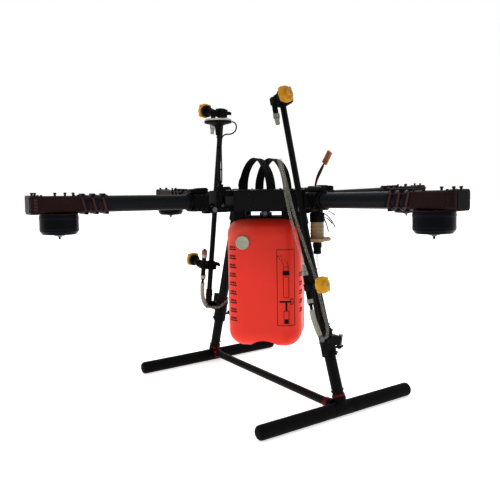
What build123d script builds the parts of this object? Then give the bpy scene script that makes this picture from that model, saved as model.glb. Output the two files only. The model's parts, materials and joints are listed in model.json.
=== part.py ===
"""Agricultural spray drone: a folding quadcopter frame with a tank, two spray booms and landing skids.

The origin is on the ground under the centre of the frame. +X and -X point along the right and left
arms, +Y and -Y along the front and rear arms. Every length is in millimetres.
"""
import math
import os

from build123d import *

# ---- driving dimensions ----
SKID_SPACING = 640.0  # between the two skid centrelines
SKID_FRONT = 252.0  # reach of each skid ahead of and behind its tee
SKID_REAR = 266.0
FOAM_DIA = 37.0
SKID_TUBE_DIA = 25.0
LEG_DIA = 30.0
LEG_TOP_X = 152.0
HUB_SIDE = 217.0  # the hub is a square box whose corners point along the arms
HUB_BOTTOM = 525.0
HUB_TOP = 584.0
PLATE = 2.0
ARM_DIA = 40.0
ARM_WALL = 2.0
PIN_RADIAL = 190.0  # fold pin of an arm, from the centre
PIN_HEIGHT = 533.0
PIN_RADIUS = 5.0
ARM_DIHEDRAL = 0.95  # degrees
MOTOR_RADIAL = 606.0
MOTOR_DIA = 90.0
MOTOR_HEIGHT = 45.0
MOTOR_SHAFT_RADIUS = 2.5
MOUNT_END = 677.0
TANK_WIDTH = 214.0
TANK_DEPTH = 175.0
TANK_BOTTOM = 131.0
TANK_TOP = 503.0
TANK_WALL = 3.0
BOOM_DIA = 16.0
BOOM_LENGTH = 640.0
BOOM_PIVOT = (295.0, -30.0, 200.0)
BOOM_LEAN = (-0.228, -0.033, 0.973)
BOOM_PIN_TILT = 9.7  # degrees that the boom's pivot bolt dips towards the front
HOSE_DIA = 8.0
LEAD_DIA = 4.5
GPS_RADIAL = 157.0
RUN_CLEARANCE = 0.06  # radial play of a shaft in its hole
GAP = 1.5  # room between faces that pass each other

# ---- sizes worked out from them ----
SKID_X = SKID_SPACING / 2
SKID_Z = FOAM_DIA / 2
AXIS_HEIGHT = (HUB_BOTTOM + HUB_TOP) / 2  # arm tube axis at the fold pin
ARM_NAMES = ("right", "front", "left", "rear")
SIDES = {"right": 1, "left": -1}
BRACKET_WIDTH = 46.0
BRACKET_END = 182.0
KNUCKLE_START = 206.0
KNUCKLE_END = 252.0
MOUNT_START = 486.0

BASE = (Align.CENTER, Align.CENTER, Align.MIN)
HANGING = (Align.CENTER, Align.CENTER, Align.MAX)


def save(name, *solids):
    """Write one node: a single solid, or a group of separate ones."""
    found = [s for part in solids for s in part.solids()]
    export_step(found[0] if len(found) == 1 else Compound(children=found), f"parts/{name}.step")


def rod(start, end, radius):
    """A round bar from one point to another."""
    run = Vector(*end) - Vector(*start)
    return Plane(origin=start, z_dir=run) * Cylinder(radius, run.length, align=BASE)


def sleeve(start, end, outer, inner):
    """A round tube from one point to another."""
    run = (Vector(*end) - Vector(*start)).normalized()
    bore = rod(Vector(*start) - run, Vector(*end) + run, inner)
    return rod(start, end, outer) - bore


def block(low, high):
    """A box between two corners."""
    size = [b - a for a, b in zip(low, high)]
    middle = [(a + b) / 2 for a, b in zip(low, high)]
    return Pos(*middle) * Box(*size)


def rounded_block(low, high, radius, axis=Axis.Z):
    """A box whose edges along one axis are rounded."""
    body = block(low, high)
    return fillet(body.edges().filter_by(axis), radius)


def turned(index, part):
    """Put a piece modelled on the right arm onto arm number index, counted anticlockwise."""
    return Rot(0, 0, 90 * index) * part


def raised(part):
    """Tip an arm piece up about its fold pin by the dihedral."""
    to_pin = Pos(PIN_RADIAL, 0, PIN_HEIGHT)
    return to_pin * Rot(0, -ARM_DIHEDRAL, 0) * to_pin.inverse() * part


def on_diagonal(part):
    """Turn a piece modelled with its front along -Y so that it faces between two arms."""
    return Rot(0, 0, 45) * part


def cord(points, diameter):
    """A plain tube of straight runs joined by tangent arcs, each as large as its two runs allow."""
    nodes = [Vector(*p) for p in points]
    runs = [b - a for a, b in zip(nodes, nodes[1:])]
    radii = []
    for before, after in zip(runs, runs[1:]):
        half_turn = math.radians(before.get_angle(after)) / 2
        radii.append(0.45 * min(before.length, after.length) / math.tan(half_turn))
    path = FilletPolyline(*nodes, radius=radii)
    tube = sweep(Plane(origin=nodes[0], z_dir=runs[0]) * Circle(diameter / 2), path=path)
    print("cord radii", [round(r) for r in radii], "runs", [round(r.length) for r in runs],
          "length", round(path.length), "volume ratio",
          round(tube.volume / (path.length * math.pi * diameter**2 / 4), 3))
    return tube


# ---- hub ----
def hub_plate(bottom):
    """A square carbon plate with a lobe over each arm bracket."""
    plate = Rot(0, 0, 45) * Pos(0, 0, bottom) * Box(HUB_SIDE + 6, HUB_SIDE + 6, PLATE, align=BASE)
    for index in range(4):
        lobe = block((100, -BRACKET_WIDTH / 2, bottom), (176, BRACKET_WIDTH / 2, bottom + PLATE))
        plate += turned(index, lobe)
    return plate


STRAP_Y = 29.0
STRAP_FEET = ((-70, 40), (70, 22))  # place along X and slot length of each strap foot
STRAP_WIDTH = 30.0


BATTERY_PAD = (96.0, 84.0, 1.0)


def upper_plate():
    """The top plate, with a raised battery pad and a slot for each battery strap foot."""
    plate = hub_plate(HUB_TOP - PLATE) + Pos(0, 0, HUB_TOP) * Box(*BATTERY_PAD, align=BASE)
    for x, _ in STRAP_FEET:
        for y in (-STRAP_Y, STRAP_Y):
            slot = block((x - 3, y - 17, HUB_TOP - 5), (x + 3, y + 17, HUB_TOP + 5))
            plate -= slot
    return plate


def lower_plate():
    """The bottom plate, with a tab that carries the pump and a hole for the tank neck."""
    plate = hub_plate(HUB_BOTTOM)
    tab = on_diagonal(block((100, -30, HUB_BOTTOM), (178, 30, HUB_BOTTOM + PLATE)))
    return plate + tab - Pos(0, 0, HUB_BOTTOM) * Cylinder(14, 20)


PANEL = 2.0
GROMMET_HEIGHT = 562.0
PANEL_LOW = HUB_BOTTOM + PLATE
PANEL_HIGH = HUB_TOP - PLATE
PANEL_HALF = HUB_SIDE / 2 - 36  # a panel ends where the arm brackets begin


def side_panels():
    """Four side plates of the hub. The one over the pump has the hole of the battery leads."""
    panels = []
    for index in range(4):
        panel = block((HUB_SIDE / 2 - PANEL, -PANEL_HALF, PANEL_LOW), (HUB_SIDE / 2, PANEL_HALF, PANEL_HIGH))
        if index == 0:
            panel -= Pos(HUB_SIDE / 2, 0, GROMMET_HEIGHT) * Rot(0, 90, 0) * Cylinder(9, 10)
        panels.append(Rot(0, 0, 45 + 90 * index) * panel)
    return panels


LOBE_RADIUS = 11.0
TONGUE_HALF = 10.6
SLOT_HALF = 11.0


def root_bracket():
    """The fixed half of an arm's fold hinge: a block with two cheeks that hold the pin."""
    half = BRACKET_WIDTH / 2
    bracket = block((118, -half, PANEL_LOW), (BRACKET_END, half, PANEL_HIGH))
    cheek = block((170, -half, PANEL_LOW), (PIN_RADIAL, half, PIN_HEIGHT + LOBE_RADIUS))
    lobe = Pos(PIN_RADIAL, 0, PIN_HEIGHT) * Rot(90, 0, 0) * Cylinder(LOBE_RADIUS, BRACKET_WIDTH)
    slot = block((176, -SLOT_HALF, HUB_BOTTOM - 10), (PIN_RADIAL + 20, SLOT_HALF, PIN_HEIGHT + 16))
    pin_hole = Pos(PIN_RADIAL, 0, PIN_HEIGHT) * Rot(90, 0, 0) * Cylinder(PIN_RADIUS, BRACKET_WIDTH + 2)
    window = block((126, -half - 1, PANEL_LOW + 14), (166, half + 1, PANEL_HIGH - 14))
    return bracket + cheek + lobe - slot - pin_hole - window


def fold_pin():
    """The shouldered bolt that an arm folds about."""
    shank = Pos(PIN_RADIAL, 0, PIN_HEIGHT) * Rot(90, 0, 0) * Cylinder(PIN_RADIUS, BRACKET_WIDTH)
    head = Pos(0, -BRACKET_WIDTH / 2 - 2, 0) * Pos(PIN_RADIAL, 0, PIN_HEIGHT) * Rot(90, 0, 0)
    nut = Pos(0, BRACKET_WIDTH / 2 + 2, 0) * Pos(PIN_RADIAL, 0, PIN_HEIGHT) * Rot(90, 0, 0)
    return shank + head * Cylinder(8, 4) + nut * Cylinder(7.5, 4)


def plate_screws():
    """Button-head screws that hold both hub plates to the brackets."""
    screws = []
    for index in range(4):
        for radial in (128, 146, 164):
            for across in (-16, 16):
                if index == 3 and radial > 140:
                    continue  # the mast base covers these
                for height, up in ((HUB_TOP, 1), (HUB_BOTTOM, -1)):
                    if up < 0 and index % 2 == 0:
                        continue  # the leg sockets cover these
                    head = Pos(radial, across, height) * Cylinder(3.2, 2.4, align=BASE if up > 0 else HANGING)
                    screws.append(turned(index, head))
    return screws


# ---- arms ----
def knuckle():
    """The moving half of the fold hinge, which clamps the arm tube, with its locking catch on top."""
    half = BRACKET_WIDTH / 2
    body = rounded_block((KNUCKLE_START, -half, 529), (KNUCKLE_END, half, 577), 9, Axis.X)
    tongue = block((PIN_RADIAL, -TONGUE_HALF, PIN_HEIGHT - 10.5), (KNUCKLE_START + 4, TONGUE_HALF, PIN_HEIGHT + 10.5))
    eye = Pos(PIN_RADIAL, 0, PIN_HEIGHT) * Rot(90, 0, 0)
    bore = rod((KNUCKLE_START + 4, 0, AXIS_HEIGHT), (KNUCKLE_END + 1, 0, AXIS_HEIGHT), ARM_DIA / 2)
    wires = rod((KNUCKLE_START - 10, 0, AXIS_HEIGHT), (KNUCKLE_END, 0, AXIS_HEIGHT), 8)
    slit = block((KNUCKLE_START + 10, -1, AXIS_HEIGHT), (KNUCKLE_END + 1, 1, 590))
    body = body + tongue + eye * Cylinder(10.5, 2 * TONGUE_HALF) - bore - wires - slit
    body -= eye * Cylinder(PIN_RADIUS + RUN_CLEARANCE, 60)
    catch = rounded_block((KNUCKLE_START - 3, -12, 577), (KNUCKLE_END + 4, 12, 588), 4, Axis.X)
    return body, catch


def arm_tube():
    """Carbon tube of one arm."""
    start, end = (KNUCKLE_START + 4, 0, AXIS_HEIGHT), (640, 0, AXIS_HEIGHT)
    return sleeve(start, end, ARM_DIA / 2, ARM_DIA / 2 - ARM_WALL)


MOUNT_UNDERSIDE = AXIS_HEIGHT - 21.0
MOUNT_PLATE = 3.0
SHELL_START = 556.0
END_BLOCK = 656.0
BELL_GAP = 1.0
BELL_TOP = MOUNT_UNDERSIDE - MOUNT_PLATE - BELL_GAP
BELL_BOTTOM = BELL_TOP - MOTOR_HEIGHT
STATOR_TOP = MOUNT_UNDERSIDE - MOUNT_PLATE


def motor_mount():
    """Ribbed clamp, smooth shell, end block and round plate that hold a motor under the arm's end."""
    axis = AXIS_HEIGHT
    clamp = rod((MOUNT_START, 0, axis), (SHELL_START, 0, axis), 22)
    for rib in (489, 515, 541):
        clamp += rod((rib, 0, axis), (rib + 13, 0, axis), 23.5)
    shell = clamp + rounded_block((SHELL_START, -22, axis - 21), (END_BLOCK, 22, axis + 20.5), 7, Axis.X)
    shell -= rod((MOUNT_START - 1, 0, axis), (642, 0, axis), ARM_DIA / 2)
    end_block = rounded_block((END_BLOCK, -22, axis - 21), (MOUNT_END - 4, 22, axis + 20.5), 7, Axis.X)
    end_plate = rounded_block((MOUNT_END - 4, -23.5, axis - 22), (MOUNT_END, 23.5, axis + 22), 7, Axis.X)
    plate = Pos(MOTOR_RADIAL, 0, MOUNT_UNDERSIDE) * Cylinder(44, MOUNT_PLATE, align=HANGING)
    return shell, end_block, end_plate, plate


def stator():
    """Wound core of a motor round its bearing tube, hung from the mount plate."""
    at = Pos(MOTOR_RADIAL, 0, STATOR_TOP)
    core = at * Pos(0, 0, -8) * Cylinder(36, 22, align=HANGING)
    for slot in range(12):
        notch = Rot(0, 0, 30 * slot) * Pos(33, 0, -8) * Box(12, 4, 50)
        core -= at * notch
    core += at * Cylinder(15, 34, align=HANGING)
    return core - at * Cylinder(MOTOR_SHAFT_RADIUS + RUN_CLEARANCE, 90)


SHAFT_OUT = 12.0


def motor_rotor():
    """Bell of a motor with its magnets' ring, cooling holes and output shaft."""
    outer = MOTOR_DIA / 2
    profile = Polyline((0, BELL_BOTTOM), (outer - 6, BELL_BOTTOM), (outer, BELL_BOTTOM + 8), (outer, BELL_TOP),
                       (outer - 5, BELL_TOP), (outer - 5, BELL_BOTTOM + 9), (outer - 9, BELL_BOTTOM + 5),
                       (0, BELL_BOTTOM + 5), close=True)
    bell = revolve(Plane.XZ * make_face(profile), Axis.Z)
    for hole in range(8):
        bell -= Rot(0, 0, 45 * hole) * Pos(26, 0, BELL_BOTTOM) * Cylinder(6, 20)
    shaft_low = BELL_BOTTOM - SHAFT_OUT
    bell += Pos(0, 0, shaft_low) * Cylinder(MOTOR_SHAFT_RADIUS, STATOR_TOP - 5 - shaft_low, align=BASE)
    return Pos(MOTOR_RADIAL, 0, 0) * bell


# ---- landing gear ----
def leg_line(side, height):
    """Centre of a leg at a height."""
    share = (height - SKID_Z) / (HUB_BOTTOM - SKID_Z)
    return Vector(side * (SKID_X + (LEG_TOP_X - SKID_X) * share), 0, height)


SOCKET_LOW = 492.0
TEE_TOP = 48.0
TEE_HALF = 32.0


def leg(side):
    """Tube from the skid's tee up to the hub."""
    return rod(leg_line(side, 34), leg_line(side, 518), LEG_DIA / 2)


def leg_socket(side):
    """Block under the hub's corner that holds a leg's top."""
    ring = rod(leg_line(side, SOCKET_LOW), leg_line(side, HUB_BOTTOM + 12), 20)
    keep = block((-400, -30, SOCKET_LOW - 20), (400, 30, HUB_BOTTOM))
    flange = block((120, -20, HUB_BOTTOM - 6), (173, 20, HUB_BOTTOM))
    flange = flange if side > 0 else mirror(flange, about=Plane.YZ)
    return (ring & keep) + flange - rod(leg_line(side, SOCKET_LOW - 20), leg_line(side, 518), LEG_DIA / 2)


CROSSBAR_Z = 28.0
CROSSBAR_Y = -9.0
CROSSBAR_SKEW = 7.0
CROSSBAR_END = 292.0
CROSSBAR_RADIUS = 11.0


def crossbar_point(side, x):
    """A point on the crossbar, which runs slightly askew between the tees."""
    return Vector(side * x, CROSSBAR_Y - side * CROSSBAR_SKEW * x / CROSSBAR_END, CROSSBAR_Z)


def leg_tee(side):
    """Casting round the skid, with sockets for the leg and the crossbar."""
    body = rod((side * SKID_X, -TEE_HALF, SKID_Z), (side * SKID_X, TEE_HALF, SKID_Z), FOAM_DIA / 2)
    body += rod(leg_line(side, SKID_Z), leg_line(side, TEE_TOP), 17.5)
    body += rod(crossbar_point(side, 306), crossbar_point(side, CROSSBAR_END), 14)
    body -= rod((side * SKID_X, -60, SKID_Z), (side * SKID_X, 60, SKID_Z), SKID_TUBE_DIA / 2)
    body -= rod(leg_line(side, 34), leg_line(side, 120), LEG_DIA / 2)
    return body & block((-400, -60, 0), (400, 60, 100))


def crossbar():
    """Bar between the two tees."""
    return rod(crossbar_point(-1, CROSSBAR_END), crossbar_point(1, CROSSBAR_END), CROSSBAR_RADIUS)


def red_collars(side):
    """Anodised clamping collars on the crossbar's end and on the leg over the tee."""
    low, high = crossbar_point(side, CROSSBAR_END - 14), crossbar_point(side, CROSSBAR_END)
    bar_collar = sleeve(low, high, 13.5, CROSSBAR_RADIUS)
    leg_collar = sleeve(leg_line(side, TEE_TOP), leg_line(side, TEE_TOP + 5), 17, LEG_DIA / 2)
    return bar_collar, leg_collar


def skid_tube(side):
    """Tube of a skid."""
    return rod((side * SKID_X, 6 - SKID_REAR, SKID_Z), (side * SKID_X, SKID_FRONT - 6, SKID_Z), SKID_TUBE_DIA / 2)


def foam_sleeve(side, way):
    """Foam sleeve from the tee to a skid's end, closed and rounded there."""
    start = (side * SKID_X, way * TEE_HALF, SKID_Z)
    reach = SKID_FRONT if way > 0 else SKID_REAR
    end = (side * SKID_X, way * reach, SKID_Z)
    foam = rod(start, end, FOAM_DIA / 2)
    tip = foam.edges().filter_by(GeomType.CIRCLE).sort_by(Axis.Y)[-1 if way > 0 else 0]
    foam = fillet(tip, 7)
    inside_end = (side * SKID_X, way * (reach - 6), SKID_Z)
    return foam - rod(start, inside_end, SKID_TUBE_DIA / 2)


# ---- tank, pump and their fittings; modelled facing -Y, then turned onto the diagonal ----
TANK_CORNER = 50.0
TANK_SHOULDER = 48.0
TANK_HEEL = 47.0
ARCH_RADIUS = 52.0  # the arches between the tank's four feet
ARCH_DROP = 32.0


def tank_form(inset):
    """The tank's moulded outline, smaller by inset on every side: rounded shoulders and four feet."""
    low, high = TANK_BOTTOM + inset, TANK_TOP - inset
    form = Pos(0, 0, low) * extrude(
        RectangleRounded(TANK_WIDTH - 2 * inset, TANK_DEPTH - 2 * inset, TANK_CORNER - inset), high - low)
    form = fillet(form.edges().group_by(Axis.Z)[-1], TANK_SHOULDER - inset)
    form = fillet(form.edges().group_by(Axis.Z)[0], TANK_HEEL - inset)
    arch = Cylinder(ARCH_RADIUS + inset, 300)
    form -= Pos(0, 0, TANK_BOTTOM - ARCH_DROP) * Rot(90, 0, 0) * arch
    form -= Pos(0, 0, TANK_BOTTOM - ARCH_DROP) * Rot(0, 90, 0) * arch
    return form


CAP_ACROSS = -53.0
CAP_HEIGHT = 437.0
CAP_RADIUS = 19.5
NECK_RADIUS = 18.0


def tank():
    """Blow-moulded tank with a filler stub on its front shoulder and a neck on top."""
    shell = tank_form(0) - tank_form(TANK_WALL)
    front = -TANK_DEPTH / 2
    stub = rod((CAP_ACROSS, front + 1, CAP_HEIGHT), (CAP_ACROSS, front - 5, CAP_HEIGHT), 14)
    shell += stub
    shell -= rod((CAP_ACROSS, front + 20, CAP_HEIGHT), (CAP_ACROSS, front - 10, CAP_HEIGHT), 11)
    shell -= Pos(0, 0, TANK_TOP) * Cylinder(10, 40)
    return on_diagonal(shell)


def tank_cap():
    """Screw cap over the filler stub."""
    front = -TANK_DEPTH / 2
    cap = rod((CAP_ACROSS, front - 0.5, CAP_HEIGHT), (CAP_ACROSS, front - 9, CAP_HEIGHT), CAP_RADIUS)
    cap = fillet(cap.edges().sort_by(Axis.Y)[0], 2)
    cap -= rod((CAP_ACROSS, front + 1, CAP_HEIGHT), (CAP_ACROSS, front - 5.3, CAP_HEIGHT), 14 + RUN_CLEARANCE)
    return on_diagonal(cap)


def tank_neck():
    """Metal outlet fitting between the tank's top and the hub."""
    neck = Pos(0, 0, TANK_TOP) * Cylinder(NECK_RADIUS, 14, align=BASE)
    neck += Pos(0, 0, TANK_TOP) * Cylinder(13, HUB_BOTTOM + PLATE - TANK_TOP, align=BASE)
    return neck - Pos(0, 0, TANK_TOP) * Cylinder(8, 80)


def tank_hangers():
    """Two black rails that hang the tank from the hub."""
    rails = []
    for across in (-70, 70):
        rail = rounded_block((across - 17, -56, TANK_TOP), (across + 17, 56, HUB_BOTTOM), 6)
        cut = block((across - 20, -34, TANK_TOP + 6), (across + 20, 34, HUB_BOTTOM - 5))
        rails.append(on_diagonal(rail - cut))
    return rails


PUMP_ACROSS = 150.0


def pump():
    """Pump under the hub's side: black motor, pale housing with a flange, black inlet stub."""
    motor = Pos(PUMP_ACROSS, 0, 488) * Cylinder(16, HUB_BOTTOM - 488, align=BASE)
    housing = Pos(PUMP_ACROSS, 0, 430) * Cylinder(19, 58, align=BASE)
    flange = Pos(PUMP_ACROSS, 0, 434) * Cylinder(39, 8, align=BASE)
    flange = fillet(flange.edges().filter_by(GeomType.CIRCLE), 2.5)
    stub = Pos(PUMP_ACROSS, 0, 395) * Cylinder(10, 35, align=BASE)
    return [on_diagonal(p) for p in (motor, housing + flange, stub)]


# ---- top of the hub ----
def strap_loop(y):
    """A webbing loop standing over the battery place, its feet on the top plate."""
    line = Spline((-70, HUB_TOP), (-64, 620), (-30, 660), (-4, 672), (24, 664), (54, 630), (66, HUB_TOP),
                  tangents=((-0.05, 1), (0.05, -1)))
    inner = [line @ (i / 24) - (line % (i / 24)).rotate(Axis.Z, 90) * 2.4 for i in range(25)]
    inner[0] = Vector(inner[0].X, HUB_TOP)
    inner[-1] = Vector(inner[-1].X, HUB_TOP)
    other = Spline(*inner)
    outline = make_face([line, Line(line @ 1, other @ 1), other, Line(other @ 0, line @ 0)])
    width = STRAP_WIDTH / 2
    return Pos(0, y, 0) * extrude(Plane.XZ * outline, width, both=True)


GPS_PIVOT_Z = HUB_TOP + 12


def gps_base():
    """Folding base of the mast, with its pin."""
    base = block((-13, -GPS_RADIAL - 12, HUB_TOP), (13, -GPS_RADIAL + 12, HUB_TOP + 4))
    for side in (-1, 1):
        ear = block((side * 7 - 2, -GPS_RADIAL - 6, HUB_TOP), (side * 7 + 2, -GPS_RADIAL + 6, GPS_PIVOT_Z + 5))
        base += ear
    axle_start, axle_end = (-11, -GPS_RADIAL, GPS_PIVOT_Z), (11, -GPS_RADIAL, GPS_PIVOT_Z)
    return base - rod(axle_start, axle_end, 2), rod(axle_start, axle_end, 2)


def gps_mast():
    """Rod with its hinge foot."""
    foot = rod((-4.5, -GPS_RADIAL, GPS_PIVOT_Z), (4.5, -GPS_RADIAL, GPS_PIVOT_Z), 6)
    foot += block((-4.5, -GPS_RADIAL - 4.5, GPS_PIVOT_Z), (4.5, -GPS_RADIAL + 4.5, GPS_PIVOT_Z + 10))
    foot += rod((0, -GPS_RADIAL, GPS_PIVOT_Z + 9.5), (0, -GPS_RADIAL, GPS_PIVOT_Z + 16), 7.5)
    foot += rod((0, -GPS_RADIAL, GPS_PIVOT_Z + 10), (0, -GPS_RADIAL, 750), 4)
    return foot - rod((-10, -GPS_RADIAL, GPS_PIVOT_Z), (10, -GPS_RADIAL, GPS_PIVOT_Z), 2 + RUN_CLEARANCE)


def gps_puck():
    """Round receiver on a conical holder."""
    holder = Pos(0, -GPS_RADIAL, 748) * Cone(9, 33, 19, align=BASE)
    holder -= Pos(0, -GPS_RADIAL, 740) * Cylinder(4, 10, align=BASE)
    case = Pos(0, -GPS_RADIAL, 767) * Cylinder(37.5, 13, align=BASE)
    case = fillet(case.edges().group_by(Axis.Z)[-1], 6)
    return holder, case


# ---- spray booms ----
def boom_frame(side):
    """Plane at a boom's pivot: z runs up the boom and x points outward."""
    x, y, z = BOOM_LEAN
    return Plane(origin=(side * BOOM_PIVOT[0], *BOOM_PIVOT[1:]), x_dir=(side * z, 0, -x), z_dir=(side * x, y, z))


def pivot_frame(side):
    """Plane at a boom's pivot whose z runs along the pivot bolt, towards the front."""
    tilt = math.radians(BOOM_PIN_TILT)
    return Plane(origin=(side * BOOM_PIVOT[0], *BOOM_PIVOT[1:]), x_dir=(side, 0, 0),
                 z_dir=(0, math.cos(tilt), -math.sin(tilt)))


EYE_HALF = 6.0
PIVOT_BOLT_RADIUS = 4.0


def boom_tube(side):
    """Boom tube in its pivot socket."""
    frame = boom_frame(side)
    tube = frame * Pos(0, 0, 22) * Cylinder(BOOM_DIA / 2, BOOM_LENGTH - 22, align=BASE)
    tube -= frame * Pos(0, 0, 60) * Cylinder(BOOM_DIA / 2 - 1.5, BOOM_LENGTH, align=BASE)
    socket = frame * Pos(0, 0, 14) * Cylinder(10.5, 40, align=BASE)
    eye = pivot_frame(side) * Cylinder(12, 2 * EYE_HALF)
    socket = socket + eye + frame * Pos(0, 0, 6) * Cylinder(7, 16, align=BASE)
    socket -= pivot_frame(side) * Cylinder(PIVOT_BOLT_RADIUS + RUN_CLEARANCE, 40)
    socket -= frame * Pos(0, 0, 22) * Cylinder(BOOM_DIA / 2, BOOM_LENGTH, align=BASE)
    return tube, socket


BRACKET_LOW = 148.0
BRACKET_HIGH = 216.0


def boom_bracket(side):
    """Clamp round the leg, with an outward lug that carries the boom's pivot bolt."""
    ring = rod(leg_line(side, BRACKET_LOW), leg_line(side, BRACKET_HIGH), 19.5)
    lug = pivot_frame(side) * Pos(-4, 0, 18 + EYE_HALF + GAP) * Box(28, 24, 36)
    web = pivot_frame(side) * Pos(-16, 24, 18 + EYE_HALF + GAP) * Box(20, 34, 22)
    clamp = ring + lug + web
    clamp -= rod(leg_line(side, BRACKET_LOW - 20), leg_line(side, BRACKET_HIGH + 20), LEG_DIA / 2)
    clamp -= pivot_frame(side) * Cylinder(PIVOT_BOLT_RADIUS, 200)
    return clamp


BOLT_START = -10.0
BOLT_LENGTH = 62.0
WING_NUT_AT = 44.0


def wing_bolt(side):
    """A boom's pivot bolt, with its round head and its wing nut."""
    frame = pivot_frame(side)
    shank = frame * Pos(0, 0, BOLT_START) * Cylinder(PIVOT_BOLT_RADIUS, BOLT_LENGTH, align=BASE)
    head = frame * Pos(0, 0, BOLT_START) * Cylinder(7, 5, align=HANGING)
    nut = frame * Pos(0, 0, WING_NUT_AT) * Cylinder(6.5, 8, align=BASE)
    wings = frame * Pos(0, 0, WING_NUT_AT + 7) * Box(4, 30, 10)
    return shank + head + nut + wings


NOZZLES = {"right": ((141, 68), (632, 61)), "left": ((141, 82), (632, 61))}  # up the boom, reach outward
TEE_BESIDE = 28.0
TEE_RADIUS = 7.0


def nozzle_body(side, up, reach, tee_low, tee_high):
    """Clamp round the boom, hose tee beside it and nozzle holder pointing outward."""
    frame = boom_frame(side)
    beside = -side * TEE_BESIDE
    clamp = frame * Pos(0, 0, up) * Box(26, 26, 24)
    link = frame * Pos(0, beside / 2 - side * 3, up) * Box(16, TEE_BESIDE + 6, 18)
    tee = frame * Pos(0, beside, up + tee_low) * Cylinder(TEE_RADIUS, tee_high - tee_low, align=BASE)
    holder = frame * Pos(0, beside, up) * Rot(0, 90, 0) * Cylinder(11, reach - 14, align=BASE)
    nut = frame * Pos(reach - 26, beside, up) * Rot(0, 90, 0) * Cylinder(16, 12, align=BASE)
    screw = frame * Pos(0, side * 13, up) * Rot(-90 * side, 0, 0) * Cylinder(2.5, 14, align=BASE)
    wing = frame * Pos(0, side * 26, up) * Box(14, 5, 4)
    body = clamp + link + tee + holder + nut + screw + wing
    return body - frame * Pos(0, 0, up) * Cylinder(BOOM_DIA / 2, 40)


def nozzle_cap(side, up, reach):
    """Yellow bayonet cap with the spray tip."""
    at = boom_frame(side) * Pos(reach - 14, -side * TEE_BESIDE, up) * Rot(0, 90, 0)
    cap = at * Cylinder(21, 14, align=BASE)
    for turn in (45, 135):
        cap += at * Rot(0, 0, turn) * Pos(0, 0, 1) * Box(48, 10, 9, align=BASE)
    return cap + at * Pos(0, 0, 14) * Cylinder(9, 8, align=BASE)


BARB_RADIUS = 4.0
BARB_LENGTH = 16.0


def barb(side, up, way):
    """Metal hose barb on a tee's end, pointing up or down the boom."""
    at = boom_frame(side) * Pos(0, -side * TEE_BESIDE, up)
    align = BASE if way > 0 else HANGING
    tail = at * Cylinder(BARB_RADIUS, BARB_LENGTH, align=align)
    collar = at * Pos(0, 0, way * 2) * Cylinder(6.5, 4)
    return tail + collar


TEE_REACH = 42.0  # from a lower nozzle's centre to each end of its tee
UPPER_TEE_LOW = -46.0


# ---- hose and lead routes, chosen by hand ----
LEFT_BOOM_HOSE = [
    (-276.42, -60.70, 279.28), (-280.42, -60.12, 262.22), (-283, -59, 242), (-280, -58.5, 221), (-267, -57, 207),
    (-247, -55.6, 202), (-224.4, -50.1, 203.96),
]
FEED_HOSE = [
    (-224, -50, 204), (-202.4, -44.6, 205.8), (-192, -22, 226), (-188, 8, 256), (-160, 44, 288), (-118, 84, 314),
    (-72, 124, 328), (-18, 150, 336), (38, 154, 340), (78, 138, 342), (99, 118, 350), (106.07, 106.07, 370),
    (106.07, 106.07, 395),
]
RIGHT_LONG_HOSE = [
    (276.42, -60.70, 279.28), (280.42, -60.12, 262.22), (288, -59.5, 247), (297, -59.2, 231), (304, -58, 218),
    (315, -55.5, 211), (325, -53, 217), (325, -50, 231), (317, -48, 252), (303, -47, 284), (289, -46.5, 322),
    (272, -47, 370), (254, -55, 420), (240, -64, 470), (226, -76, 524), (215, -83, 578), (204, -90, 628),
    (198, -95, 664),
]
RIGHT_SHORT_HOSE = [
    (249.70, -64.57, 393.33), (245.50, -65.18, 411.24), (242, -74, 436), (236, -83, 480), (228, -92, 528),
    (221, -98, 576), (216, -103, 624), (206, -108, 661),
]
RED_LEAD = [
    (76.7, 76.7, 562), (92, 92, 562), (101, 99, 574), (105, 101, 592), (113, 102, 612), (129, 102.5, 633),
    (139.6, 101.6, 648.6),
]
BLACK_LEAD = [
    (72.9, 80.5, 562), (88, 96, 561), (97.5, 103.5, 573), (101, 104, 593), (107, 104.5, 615), (121, 105, 637),
    (136.0, 105.6, 652.6),
]
GPS_CABLE = [
    (21.9, -125.4, 771.4), (25.8, -119.5, 769.5), (28.2, -115.8, 762), (28.0, -116.2, 750), (24.0, -122.0, 741),
    (17.5, -131.5, 737), (10.7, -141.3, 738), (5.5, -149.0, 731), (4.1, -151.2, 716), (3.9, -151.5, 690),
    (4.1, -151.2, 650), (3.8, -151.6, 612),
]


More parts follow.
